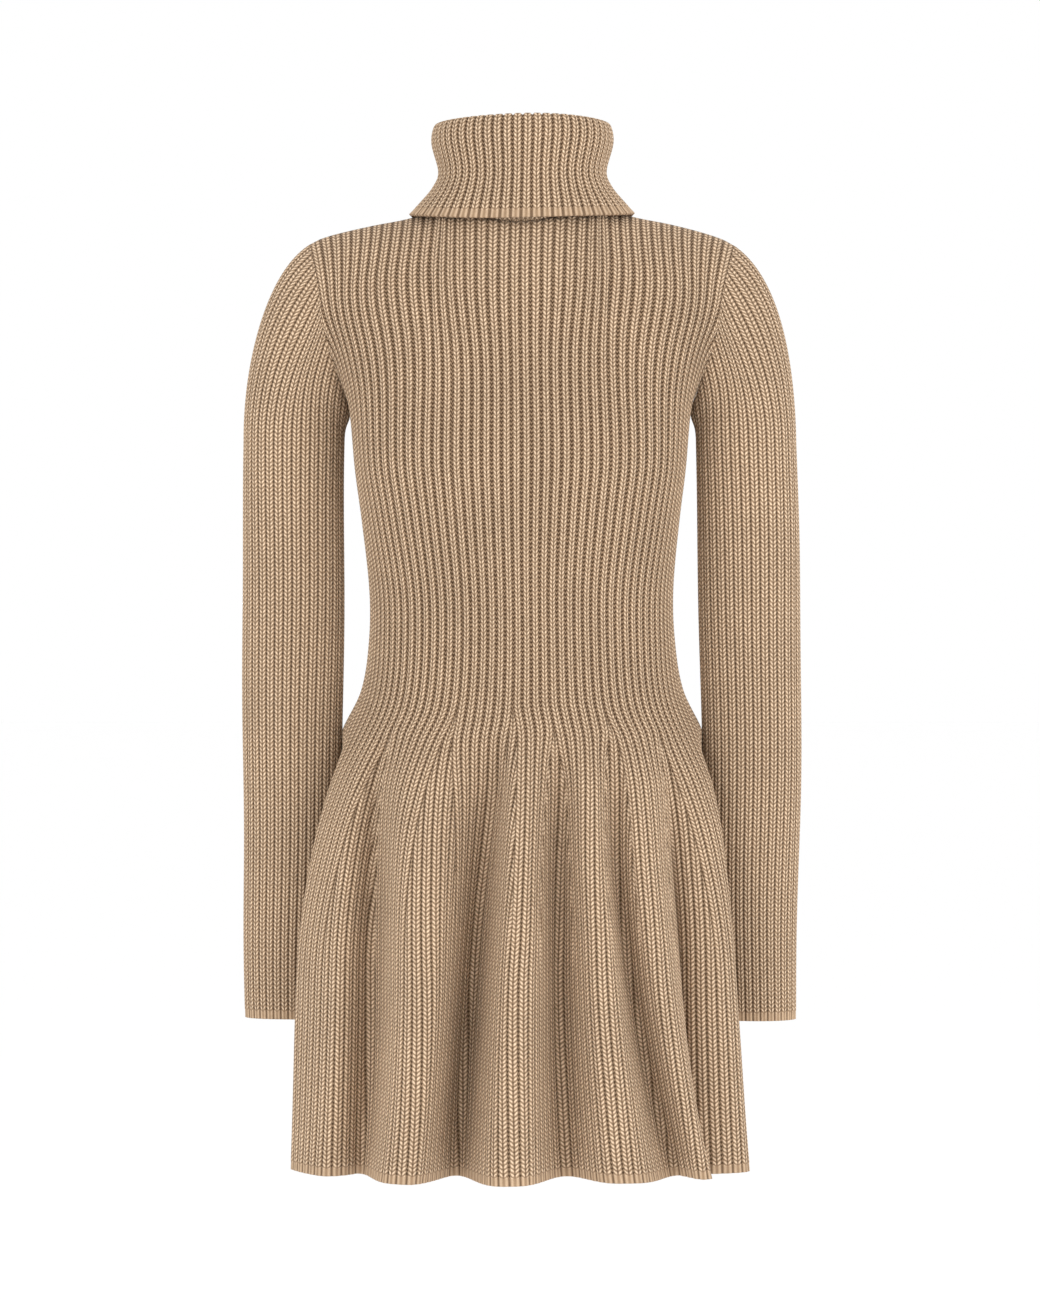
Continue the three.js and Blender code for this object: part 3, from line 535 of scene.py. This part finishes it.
def both_faces(base, outward, relief, row_step):
    """The wall's outside, which dips between the ribs, and its inside, which follows the ribs
    less and keeps only every few rows and the last, and the numbers of those rows."""
    rows = np.unique(np.append(np.arange(0, len(base), row_step), len(base) - 1))
    outer = base - outward * (RIB_HEIGHT * relief)[..., None]
    inner = base - outward * (WALL - INNER_RELIEF * (1 - relief))[..., None]
    return outer, inner[rows], rows


RIB_STEPS = np.array([0, 0.14, 0.3, 0.5, 0.7, 0.86])
GORE_RIBS = 7
GORE_LENGTH = 190
GORE_EASE = 1.8
GORE_TIP = 22
# the rib that each wedge starts at, and its height
FRONT_GORES = ((-14, -440), (-7, -424), (-1, -422), (3, -440), (9, -429), (15, -442))
BACK_GORES = ((-19, -438), (-12, -428), (-5, -422), (4, -424), (11, -426), (19, -440))


def panel_columns(gores):
    """The grid's columns from one side seam to the other: each one's rib place, in a gore also
    the gore's number and the offset from its middle, and whether it counts its ribs from there.
    A gore's edges have two columns, one that ends the panel's ribs and one that starts its own."""
    half = GORE_RIBS / 2
    within = (np.arange(GORE_RIBS)[:, None] + RIB_STEPS).ravel() - half
    within = np.concatenate([[-half], within, [half, half]])
    own = np.ones(len(within), bool)
    own[[0, -1]] = False
    columns = []
    for rib in range(-SIDE_RIB, SIDE_RIB + 1):
        found = [i for i, gore in enumerate(gores) if gore[0] == rib]
        if found:
            columns.append(np.stack([rib + 0 * within, found[0] + 0 * within, within, own]))
        plain = RIB_STEPS[1:] if found else RIB_STEPS
        plain = plain[:1] if rib == SIDE_RIB else plain
        columns.append(np.stack([rib + plain, -1 + 0 * plain, 0 * plain, 0 * plain]))
    ribs, numbers, offsets, own = np.concatenate(columns, axis=1)
    return ribs, numbers.astype(int), offsets, own > 0


def skirt_and_bodice(ribs, numbers, offsets, own, gores, z, is_front):
    """The panel up to the underarm: each column's share of the ring's length follows from the
    ribs before it, a gore's ribs being added as it widens."""
    tops = np.array([gore[1] for gore in gores], float)
    places = np.array([gore[0] for gore in gores], float)
    below = np.maximum(tops + GORE_TIP / 4 - z, 0)
    grown = np.clip(below**2 / (below + GORE_TIP) / GORE_LENGTH, 0, 1)
    widths = (1 - (1 - grown) ** GORE_EASE) * GORE_RIBS
    total = 2 * SIDE_RIB + widths.sum(1, keepdims=True)
    passed = widths @ (places[:, None] < ribs)
    in_gore = numbers >= 0
    half = np.where(in_gore, widths[:, numbers] / 2, 0)
    offset = np.clip(offsets, -half, half)
    share = (ribs + SIDE_RIB + passed + np.where(in_gore, half + offset, 0)) / total
    plain_groove = 1 - 2 * np.abs(ribs - np.round(ribs))
    gore_groove = 2 * np.abs(offset - np.round(offset))
    gore_edge = 1 - 2 * (half - np.abs(offset))
    gore_groove = np.clip(np.maximum(gore_groove, gore_edge), 0, 1)
    groove = np.where(in_gore, gore_groove, plain_groove)
    across = np.where(own, offset + 0.5, ribs + 0 * offset)
    ends = (-90, 90) if is_front else (90, 270)
    degrees = even_angles(body_ring, z, ends, share)
    outward = facing(body_ring, degrees, z, DEGREE_STEP, HEIGHT_STEP)
    return body_ring(degrees, z), outward, groove, across


ARMHOLE_DECREASE = 0.6
ARMHOLE_REACH = 3
CLIMB_STEP = 2
START_HANDLE = 0.38
SEAM_HANDLE = 0.34
SHARED_SIDE = 0.97
SEAM_RIBS = 0.7
SEAM_RISE = 0.05


def yoke(ribs, rise, is_front):
    """The panel above the underarm. Each rib climbs a curve from the underarm's ring to the neck
    or shoulder seam, and towards the sides all of it follows the armhole, where ribs end."""
    ends = (-90, 90) if is_front else (90, 270)
    ring = np.array([[float(UNDERARM)]])

    def column(share, level):
        flat = np.clip((share + 1) / 2, 0, 1).reshape(1, -1)
        degrees = even_angles(body_ring, ring, ends, flat)
        start = body_ring(degrees, ring).reshape(share.shape + (3,))
        climb = unit(body_ring(degrees, ring + CLIMB_STEP).reshape(start.shape) - start)
        seam, _, seam_climb = upper_seam(share, is_front)
        reach = np.linalg.norm(seam - start, axis=-1, keepdims=True)
        near, far = start + climb * START_HANDLE * reach, seam - seam_climb * SEAM_HANDLE * reach
        return handled(start, near, far, seam, level[..., None])

    def point(share, level):
        share, level = np.broadcast_arrays(np.clip(share, -1, 1), level)
        side = np.where(share < 0, -1.0, 1.0)
        edge = mirrored(armhole_point(np.clip(1 - level, 0, 1), is_front), side, is_front)
        pull = edge - column(side, level)
        return column(share, level) + pull * (np.abs(share) ** ARMHOLE_REACH)[..., None]

    left = mix(SIDE_RIB, TIP_RIB, ease(rise, 0, ARMHOLE_DECREASE))
    kept = np.clip(ribs, -left, left)
    plain_groove = 1 - 2 * np.abs(kept - np.round(kept))
    groove = np.clip(np.maximum(plain_groove, 1 - 2 * (left - np.abs(kept))), 0, 1)
    share = kept / left
    rise = np.broadcast_to(rise, share.shape)
    outward = facing(point, share, np.minimum(rise, 1 - UNIT_STEP), UNIT_STEP, UNIT_STEP)
    shared = mirrored(armhole_frame(1 - rise, is_front)[0], share, is_front)
    at_side = ease(np.abs(share), SHARED_SIDE, 1) * (1 - ease(1 - rise, *UNDERARM_TURN))
    outward = toward(outward, shared, at_side)
    outward = np.where((rise == 1)[..., None], upper_seam(share, is_front)[1], outward)
    fade = ease(left - np.abs(kept), 0, SEAM_RIBS) * ease(1 - rise, 0, SEAM_RISE)
    return point(share, rise), outward, groove, kept, fade


HEM_ROWS = HEM + np.array([0, 0.8, 3.5, 6, 7.5])
SKIRT_ROWS = np.concatenate([HEM_ROWS, np.linspace(HEM + 11, -425, 68)])
BODICE_ROWS = np.linspace(-420, UNDERARM, 52)
YOKE_ROWS = np.linspace(0, 1, 37)[1:] ** 1.3
WALL_ROW_STEP = 3
SIDE_FADE_HEIGHT = 15
BEND_CORE_ROWS = 3
BEND_ROWS = 13
BEND_SIDE_RIBS = 3
BEND_PASSES = 60
BODICE_COVER = 0.66
SKIRT_COVER = 0.84
SKIRT_COVER_DROP = (400, 500)
SHOULDER_COVER_RISE = (0.35, 0.95)
SHOULDER_COVER_SHARE = 0.6
STITCH_FLATNESS = 0.5
FIRST_RIB = 100


def panel(name, gores, is_front):
    """One panel of the dress, from both of its stretches of rows. Where they meet, its points are
    moved by turns towards the middle between the rows above and below, until the ribs bend
    evenly."""
    ribs, numbers, offsets, own = panel_columns(gores)
    heights = np.concatenate([SKIRT_ROWS, BODICE_ROWS])[:, None]
    low = skirt_and_bodice(ribs, numbers, offsets, own, gores, heights, is_front)
    high = yoke(ribs, YOKE_ROWS[:, None], is_front)
    near_underarm = 1 - ease(UNDERARM - heights, 0, SIDE_FADE_HEIGHT)
    at_side = 1 - ease(SIDE_RIB - np.abs(ribs), 0, SEAM_RIBS)
    low += (1 - near_underarm * at_side,)
    base, outward, groove, across, fade = (np.concatenate(parts) for parts in zip(low, high))
    from_bend = np.abs(np.arange(len(base)) - len(heights))
    near_bend = 1 - ease(from_bend, BEND_CORE_ROWS, BEND_ROWS)
    off_side = ease(SIDE_RIB - np.abs(ribs), 0, BEND_SIDE_RIBS)
    moved_share = near_bend[1:-1, None, None] * off_side[:, None] / 2
    for grid in [base, outward] * BEND_PASSES:
        grid[1:-1] += moved_share * ((grid[2:] + grid[:-2]) / 2 - grid[1:-1])
    outward = unit(outward)
    in_skirt = ease(-heights, *SKIRT_COVER_DROP)
    at_shoulder = SHOULDER_COVER_SHARE * ease(YOKE_ROWS[:, None], *SHOULDER_COVER_RISE)
    cover = mix(BODICE_COVER, SKIRT_COVER, np.concatenate([in_skirt, at_shoulder])) + 0 * groove
    length = length_along(base * np.array([1, STITCH_FLATNESS, 1]))
    relief, knit = relief_and_knit(across + FIRST_RIB, groove, cover, length)
    gap = np.zeros_like(base)
    gap[:len(heights), np.abs(ribs) == SIDE_RIB, 1] = SEAM_GAP / 2
    gap[-1, np.abs(ribs) >= NECK_RIB, 1] = SEAM_GAP / 2
    gap *= -1 if is_front else 1
    outer, inner, rows = both_faces(base + gap, outward, relief * fade, WALL_ROW_STEP)
    return wall(name, settle(outer), settle(inner), rows, knit, knit[rows], True)


# each noise: scale and detail
STITCH_NOISE = (700, 1)
FIBRE_NOISE = (2200, 3)
FLECK_NOISE = (300, 2)
SLOW_NOISE = (14, 2)
STITCH_WOBBLE = 0.5
FIBRE_SHARE = 0.3
FLECK_SHARE = 0.3
# each ramp: from and to a value, and what it gives there
RIB_MIDDLE_RAMP = (0.0, 0.36, 0.2, 1.0)
RIB_SIDE_RAMP = (0.66, 1.0, 1.0, 0.5)
FURROW_RAMP = (0.3, 1.0, 0.0, 0.42)
SLOW_RAMP = (0.3, 0.7, 0.95, 1.04)
LEG_SLANT = 0.8
LEG_RANGE = (0.3, 1.0)
BACK_SLANT = 0.5
COVER_SOFTNESS = (0.08, 0.06)
BARS_PER_RIB = 2.0
BAR_RANGE = (0.36, 0.64)
BAR_IN_FURROW = 0.45
BUMP_DEPTH = 0.0009
# each tone: the height in the knit that has it, and its colour. The low tones are painted shade,
# darkest down in the furrows and between the stitches; the high one is the yarn on the crests.
YARN_TONES_WITH_PAINTED_SHADE = (
    (0.0, (0.075, 0.04, 0.019, 1)),
    (0.95, (0.88, 0.66, 0.46, 1)),
    (0.45, (0.4, 0.268, 0.165, 1)),
)


def knit_material(name):
    """Ribbed knit in matt wool-blend yarn. The knit coordinate counts ribs across and stitches
    along. A rib is a column of V stitches whose two legs slant up and out, and the furrow between
    two ribs shows the stitches' backs. The knit's height gives both its bumps and its colour: the
    yarn's tone on the stitches' faces, falling to dark painted shade in the furrows and between
    the stitches. Fine fibres and slow shifts of tone lie over it."""
    material = bpy.data.materials.new(name)
    material.use_nodes = True
    tree = material.node_tree
    shader = tree.nodes["Principled BSDF"]

    def put(socket, value):
        if isinstance(value, bpy.types.NodeSocket):
            tree.links.new(value, socket)
        else:
            socket.default_value = value

    def maths(operation, *values):
        node = tree.nodes.new("ShaderNodeMath")
        node.operation = operation
        for socket, value in zip(node.inputs, values):
            put(socket, value)
        return node.outputs[0]

    def ramp(value, low, high, start=0.0, end=1.0):
        node = tree.nodes.new("ShaderNodeMapRange")
        node.interpolation_type = "SMOOTHSTEP"
        for socket, number in zip(node.inputs, (value, low, high, start, end)):
            put(socket, number)
        return node.outputs[0]

    def noise(scale, detail):
        node = tree.nodes.new("ShaderNodeTexNoise")
        node.inputs["Scale"].default_value = scale
        node.inputs["Detail"].default_value = detail
        tree.links.new(place, node.inputs["Vector"])
        return node.outputs["Fac"]

    def uv_parts(layer):
        """The two numbers of a UV layer."""
        node = tree.nodes.new("ShaderNodeUVMap")
        node.uv_map = layer
        split = tree.nodes.new("ShaderNodeSeparateXYZ")
        tree.links.new(node.outputs["UV"], split.inputs[0])
        return split.outputs[0], split.outputs[1]

    def wave(value):
        """From 0 where a value is whole up to 1 half way between."""
        turn = maths("MULTIPLY", value, math.tau)
        return maths("SUBTRACT", 0.5, maths("MULTIPLY", maths("COSINE", turn), 0.5))

    def blend(share, low, high):
        """A share of the way from low to high."""
        return maths("ADD", low, maths("MULTIPLY", share, maths("SUBTRACT", high, low)))

    place = tree.nodes.new("ShaderNodeTexCoord").outputs["Object"]
    rib, stitch = uv_parts("knit")
    cover, edge = uv_parts("cover")

    stitch = maths("ADD", stitch, maths("MULTIPLY", noise(*STITCH_NOISE), STITCH_WOBBLE))
    from_middle = maths("ABSOLUTE", maths("SUBTRACT", maths("FRACT", rib), 0.5))
    across = maths("MULTIPLY", from_middle, 2.0)
    cover_end = maths("SUBTRACT", cover, COVER_SOFTNESS[0])
    furrow_start = maths("ADD", cover, COVER_SOFTNESS[1])
    on_rib = ramp(across, cover_end, furrow_start, 1.0, 0.0)
    leg = maths("MINIMUM", maths("DIVIDE", across, cover), 1.0)
    strand = wave(maths("SUBTRACT", stitch, maths("MULTIPLY", leg, LEG_SLANT)))
    body = maths("MULTIPLY", ramp(leg, *RIB_MIDDLE_RAMP), ramp(leg, *RIB_SIDE_RAMP))
    face = maths("MULTIPLY", blend(strand, *LEG_RANGE), body)
    behind = maths("DIVIDE", maths("SUBTRACT", across, cover), maths("SUBTRACT", 1.0, cover))
    back_strand = wave(maths("ADD", stitch, maths("MULTIPLY", behind, BACK_SLANT)))
    furrow = ramp(back_strand, *FURROW_RAMP)
    bar = blend(wave(maths("MULTIPLY", rib, BARS_PER_RIB)), *BAR_RANGE)
    # In the furrows the bars sit lower, so their colour darkens to painted shade there too.
    bar = maths("MULTIPLY", bar, blend(on_rib, BAR_IN_FURROW, 1.0))
    height = blend(edge, blend(on_rib, furrow, face), bar)
    fibre = maths("SUBTRACT", noise(*FIBRE_NOISE), 0.5)
    height = maths("ADD", height, maths("MULTIPLY", fibre, FIBRE_SHARE))

    bump = tree.nodes.new("ShaderNodeBump")
    bump.inputs["Strength"].default_value = 1.0
    bump.inputs["Distance"].default_value = BUMP_DEPTH
    tree.links.new(height, bump.inputs["Height"])
    tree.links.new(bump.outputs["Normal"], shader.inputs["Normal"])

    # The colour follows the height: dark painted shade low in the furrows and between the
    # stitches, the yarn's tone on the crests.
    tone = tree.nodes.new("ShaderNodeValToRGB")
    stops = tone.color_ramp.elements
    (stops[0].position, stops[0].color), (stops[1].position, stops[1].color) = YARN_TONES_WITH_PAINTED_SHADE[:2]
    stops.new(YARN_TONES_WITH_PAINTED_SHADE[2][0]).color = YARN_TONES_WITH_PAINTED_SHADE[2][1]
    tree.links.new(height, tone.inputs["Fac"])
    slow = ramp(noise(*SLOW_NOISE), *SLOW_RAMP)
    flecks = maths("SUBTRACT", noise(*FLECK_NOISE), 0.5)
    shade = maths("ADD", slow, maths("MULTIPLY", flecks, FLECK_SHARE))
    coloured = tree.nodes.new("ShaderNodeVectorMath")
    coloured.operation = "SCALE"
    tree.links.new(tone.outputs["Color"], coloured.inputs[0])
    tree.links.new(shade, coloured.inputs["Scale"])
    tree.links.new(coloured.outputs[0], shader.inputs["Base Color"])
    shader.inputs["Roughness"].default_value = 0.92
    shader.inputs["Specular IOR Level"].default_value = 0.2
    shader.inputs["Sheen Weight"].default_value = 0.12
    shader.inputs["Sheen Roughness"].default_value = 0.5
    shader.inputs["Sheen Tint"].default_value = (0.95, 0.82, 0.68, 1)
    return material


ribbed_knit = knit_material("ribbed_knit")
front = panel("front_panel", FRONT_GORES, True)
back = panel("back_panel", BACK_GORES, False)
for piece, node in ((front, "front"), (back, "back")):
    piece.data.materials.append(ribbed_knit)
    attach(piece, "root")
    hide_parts(node)

# Sleeves
# Each is a ribbed tube of 32 ribs, straight from a rounded cap to the cuff. It is knitted flat,
# linked along its inner side and then linked into the armhole, where its ribs end.
SLEEVE_RIBS = 32
SLEEVE_COVER = 0.86
SLEEVE_SECTIONS = np.array([
    # height, middle x and y, half width, half depth
    (-684, 194, 12, 38, 26),
    (-560, 193.4, 12, 40.5, 28),
    (-416, 192.8, 9, 42.4, 30),
    (-300, 191.5, 4, 42.8, 33.5),
    (-200, 189.6, 1, 42.4, 37.5),
])
ALLOWANCE = 2.5
ALLOWANCE_DEPTH = 0.9
CUFF = -684
CAP_END = -200
CAP_STARTS = np.array([
    # out, down and turn at the top, the back, the underarm and the front
    (34, 22, 80),
    (12, 35, 50),
    (0, 15, 20),
    (12, 35, 50),
    (34, 22, 80),
])
TUBE_RIB_STEPS = np.array([0, 0.1, 0.22, 0.36, 0.5, 0.64, 0.78, 0.9])
TUBE_DEGREE_STEP = 0.5
SLEEVE_ROWS = np.concatenate([HEM_ROWS - HEM + CUFF, np.linspace(CUFF + 11, CAP_END, 98)])
CAP_ROWS = 1 - np.linspace(1, 0, 38)[1:] ** 1.2
sleeve_curves = [
    smooth_curve(SLEEVE_SECTIONS[:, 0], SLEEVE_SECTIONS[:, column]) for column in range(1, 5)
]


def tube_columns(ribs):
    """The rib place and groove of each column round a tube, whose last one closes the round."""
    count = np.append((np.arange(ribs)[:, None] + TUBE_RIB_STEPS).ravel(), ribs)
    return count, np.abs(1 - 2 * (count % 1))


def sleeve_ring(degrees, z):
    """An oval round the sleeve, counted from its outermost side round the back."""
    middle_x, middle_y, half_width, half_depth = (curve(z) for curve in sleeve_curves)
    x = middle_x + half_width * np.cos(np.radians(degrees))
    y = middle_y + half_depth * np.sin(np.radians(degrees))
    return np.stack([x, y, z + 0 * x], -1)


def armhole_edge(share):
    """At a share of the way round the sleeve: its side of the armhole seam, the seam's two
    directions, and how much the sleeve's own facing counts, from 0 at the top to 1 below."""
    is_front = share > 0.5
    down = np.where(is_front, 2 - 2 * share, 2 * share)
    pick = is_front[..., None]
    seam = np.where(pick, armhole_point(down, True), armhole_point(down, False))
    in_front, behind = armhole_frame(down, True), armhole_frame(down, False)
    outward, away = (np.where(pick, a, b) for a, b in zip(in_front, behind))
    return seam + away * SEAM_GAP, outward, away, ease(down, *UNDERARM_TURN)


def cap_point(share, rise):
    """The sleeve's cap: each rib follows a curve from the tube's top end to the armhole. The
    curve's handles change from quarter to quarter in half cosine waves."""
    share, rise = np.broadcast_arrays(share % 1, rise)
    quarter = np.minimum(np.floor(share * 4).astype(int), 3)
    t = ((1 - np.cos(np.pi * (share * 4 - quarter))) / 2)[..., None]
    out, down, turn = np.moveaxis(mix(CAP_STARTS[quarter], CAP_STARTS[quarter + 1], t), -1, 0)
    ring = np.array([[float(CAP_END)]])
    degrees = even_angles(sleeve_ring, ring, (0, 360), share.reshape(1, -1))
    end = sleeve_ring(degrees, ring).reshape(share.shape + (3,))
    seam = armhole_edge(share)[0]
    end_handle = end + np.stack([0 * turn, 0 * turn, turn], -1)
    seam_handle = seam + np.stack([out, 0 * out, -down], -1)
    return handled(end, end_handle, seam_handle, seam, rise[..., None])


def sleeve(name, side):
    """One sleeve. Its inside reaches a little over the seam, as an allowance does. The one on
    the wearer's right is the mirror image, its columns turned round."""
    count, groove = tube_columns(SLEEVE_RIBS)
    share = (count / SLEEVE_RIBS)[None, :]
    heights, rises = SLEEVE_ROWS[:, None], CAP_ROWS[:, None]
    degrees = even_angles(sleeve_ring, heights, (0, 360), share)
    low = sleeve_ring(degrees, heights)
    low_outward = facing(sleeve_ring, degrees, heights, TUBE_DEGREE_STEP, HEIGHT_STEP)
    high = cap_point(share, rises)
    shares, levels = np.broadcast_arrays(share, np.minimum(rises, 1 - 2 * UNIT_STEP))
    high_outward = facing(cap_point, shares, levels, UNIT_STEP, UNIT_STEP)
    _, seam_outward, away, own = armhole_edge(share)
    high_outward[-1] = toward(seam_outward, high_outward[-1:], own)[0]
    base, outward = np.concatenate([low, high]), np.concatenate([low_outward, high_outward])
    base[:, -1], outward[:, -1] = base[:, 0], outward[:, 0]
    groove = groove + 0 * base[..., 0]
    relief, knit = relief_and_knit(count, groove, SLEEVE_COVER + 0 * groove, length_along(base))
    relief[-len(rises):] *= ease(1 - rises, 0, SEAM_RISE)
    outer, inner, rows = both_faces(base, outward, relief, WALL_ROW_STEP)
    inner[-1] -= away[0] * ALLOWANCE + outward[-1] * ALLOWANCE_DEPTH
    knit_inner = knit[rows]
    if side < 0:
        outer, inner = outer[:, ::-1] * MIRROR, inner[:, ::-1] * MIRROR
        knit, knit_inner = knit[:, ::-1], knit_inner[:, ::-1]
    return wall(name, settle(outer), settle(inner), rows, knit, knit_inner, False)


for side, node in ((1, "sleeve_left"), (-1, "sleeve_right")):
    piece = sleeve(f"{node}_tube", side)
    piece.data.materials.append(ribbed_knit)
    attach(piece, "root")
    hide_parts(node)

# Collar
# A tall ribbed tube linked to the neck with its visible face inward. It stands up round the
# neck, rolls over and hangs down outside, where it spreads over the shoulders.
COLLAR_RIBS = 56
COLLAR_COVER = 0.74
COLLAR_ROW_STEP = 2
ROWS_PER_SPAN = 6
PLACE_STEP = 0.02
ROLL_HALF_WIDTH = 69.3
ROLL_Z = 60.8
ROLL_RADIUS = 6.8
ROLL_ANGLES = (40, 90, 140)
TURN_TOP = 51
EDGE_SIDE_Z = -7.2
EDGE_FRONT_DROP = 11.4
EDGE_DROP_POWER = 1.3
# half width and height, from the roll down
STAND = ((62.4, 50), (61.8, 20))
TURN = np.array([
    # half width at the sides, in front and behind, and how far down
    (94.5, 77.5, 88.5, 1),
    (84.5, 75.5, 80.5, 0.82),
    (75, 72, 73.5, 0.62),
    (70.5, 70.5, 70.5, 0.4),
    (76.4, 76.4, 76.4, 0),
])
COLLAR_SPANS = len(TURN) + len(ROLL_ANGLES) + len(STAND)


def collar_point(degrees, place):
    """The collar's visible face. Its section is a smooth curve through the turned-down edge, the
    roll and the stand to the neck seam, and place counts along those points."""
    angle = np.radians(degrees)
    forward, backward = np.maximum(0, np.cos(angle)), np.maximum(0, -np.cos(angle))
    edge = EDGE_SIDE_Z - EDGE_FRONT_DROP * forward**EDGE_DROP_POWER
    rows = []
    for at_side, in_front, behind, down in TURN:
        more = (in_front - at_side) * forward**2 + (behind - at_side) * backward**2
        rows.append((at_side + more, mix(TURN_TOP, edge, down)))
    for turn in np.radians(ROLL_ANGLES):
        out, up = ROLL_RADIUS * math.cos(turn), ROLL_RADIUS * math.sin(turn)
        rows.append((ROLL_HALF_WIDTH + out + 0 * angle, ROLL_Z + up + 0 * angle))
    rows += [(width + 0 * angle, z + 0 * angle) for width, z in STAND]
    side = np.abs(np.sin(angle))
    is_front = (np.cos(angle) >= 0)[..., None]
    neck = np.where(is_front, neck_point(side, True), neck_point(side, False))
    neck = neck + np.array([0, 0, SEAM_GAP]) - WALL * neck_outward(neck)
    neck_width = np.hypot(neck[..., 0], (neck[..., 1] - NECK_MIDDLE_Y) / NECK_DEPTH_RATIO)
    rows.append((neck_width, neck[..., 2]))
    span = np.clip(np.floor(place).astype(int), 0, COLLAR_SPANS - 1)

    def along(values):
        """The values' smooth curve, at the place."""
        before, start, end, after = (
            np.take_along_axis(values, np.clip(span + i, 0, COLLAR_SPANS)[None], 0)[0]
            for i in (-1, 0, 1, 2)
        )
        return cubic(start, end, (end - before) / 2, (after - start) / 2, place - span)

    half, z = (along(np.array([row[i] for row in rows])) for i in (0, 1))
    x = half * np.sin(angle)
    y = NECK_MIDDLE_Y - NECK_DEPTH_RATIO * half * np.cos(angle)
    return np.stack([x, y, z], -1)


count, groove = tube_columns(COLLAR_RIBS)
places = np.linspace(0, COLLAR_SPANS, COLLAR_SPANS * ROWS_PER_SPAN + 1)[:, None]
degrees, places = np.broadcast_arrays(count / COLLAR_RIBS * 360, places)
base = collar_point(degrees, places)
inner_places = np.clip(places, PLACE_STEP, COLLAR_SPANS - PLACE_STEP)
outward = facing(collar_point, degrees, inner_places, TUBE_DEGREE_STEP, PLACE_STEP)
base[:, -1], outward[:, -1] = base[:, 0], outward[:, 0]
groove = groove + 0 * degrees
relief, knit = relief_and_knit(count, groove, COLLAR_COVER + 0 * groove, length_along(base))
outer, inner, rows = both_faces(base, outward, relief, COLLAR_ROW_STEP)
collar = wall("roll_collar", settle(outer), settle(inner), rows, knit, knit[rows], False)
collar.data.materials.append(ribbed_knit)
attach(collar, "root")
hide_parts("collar")
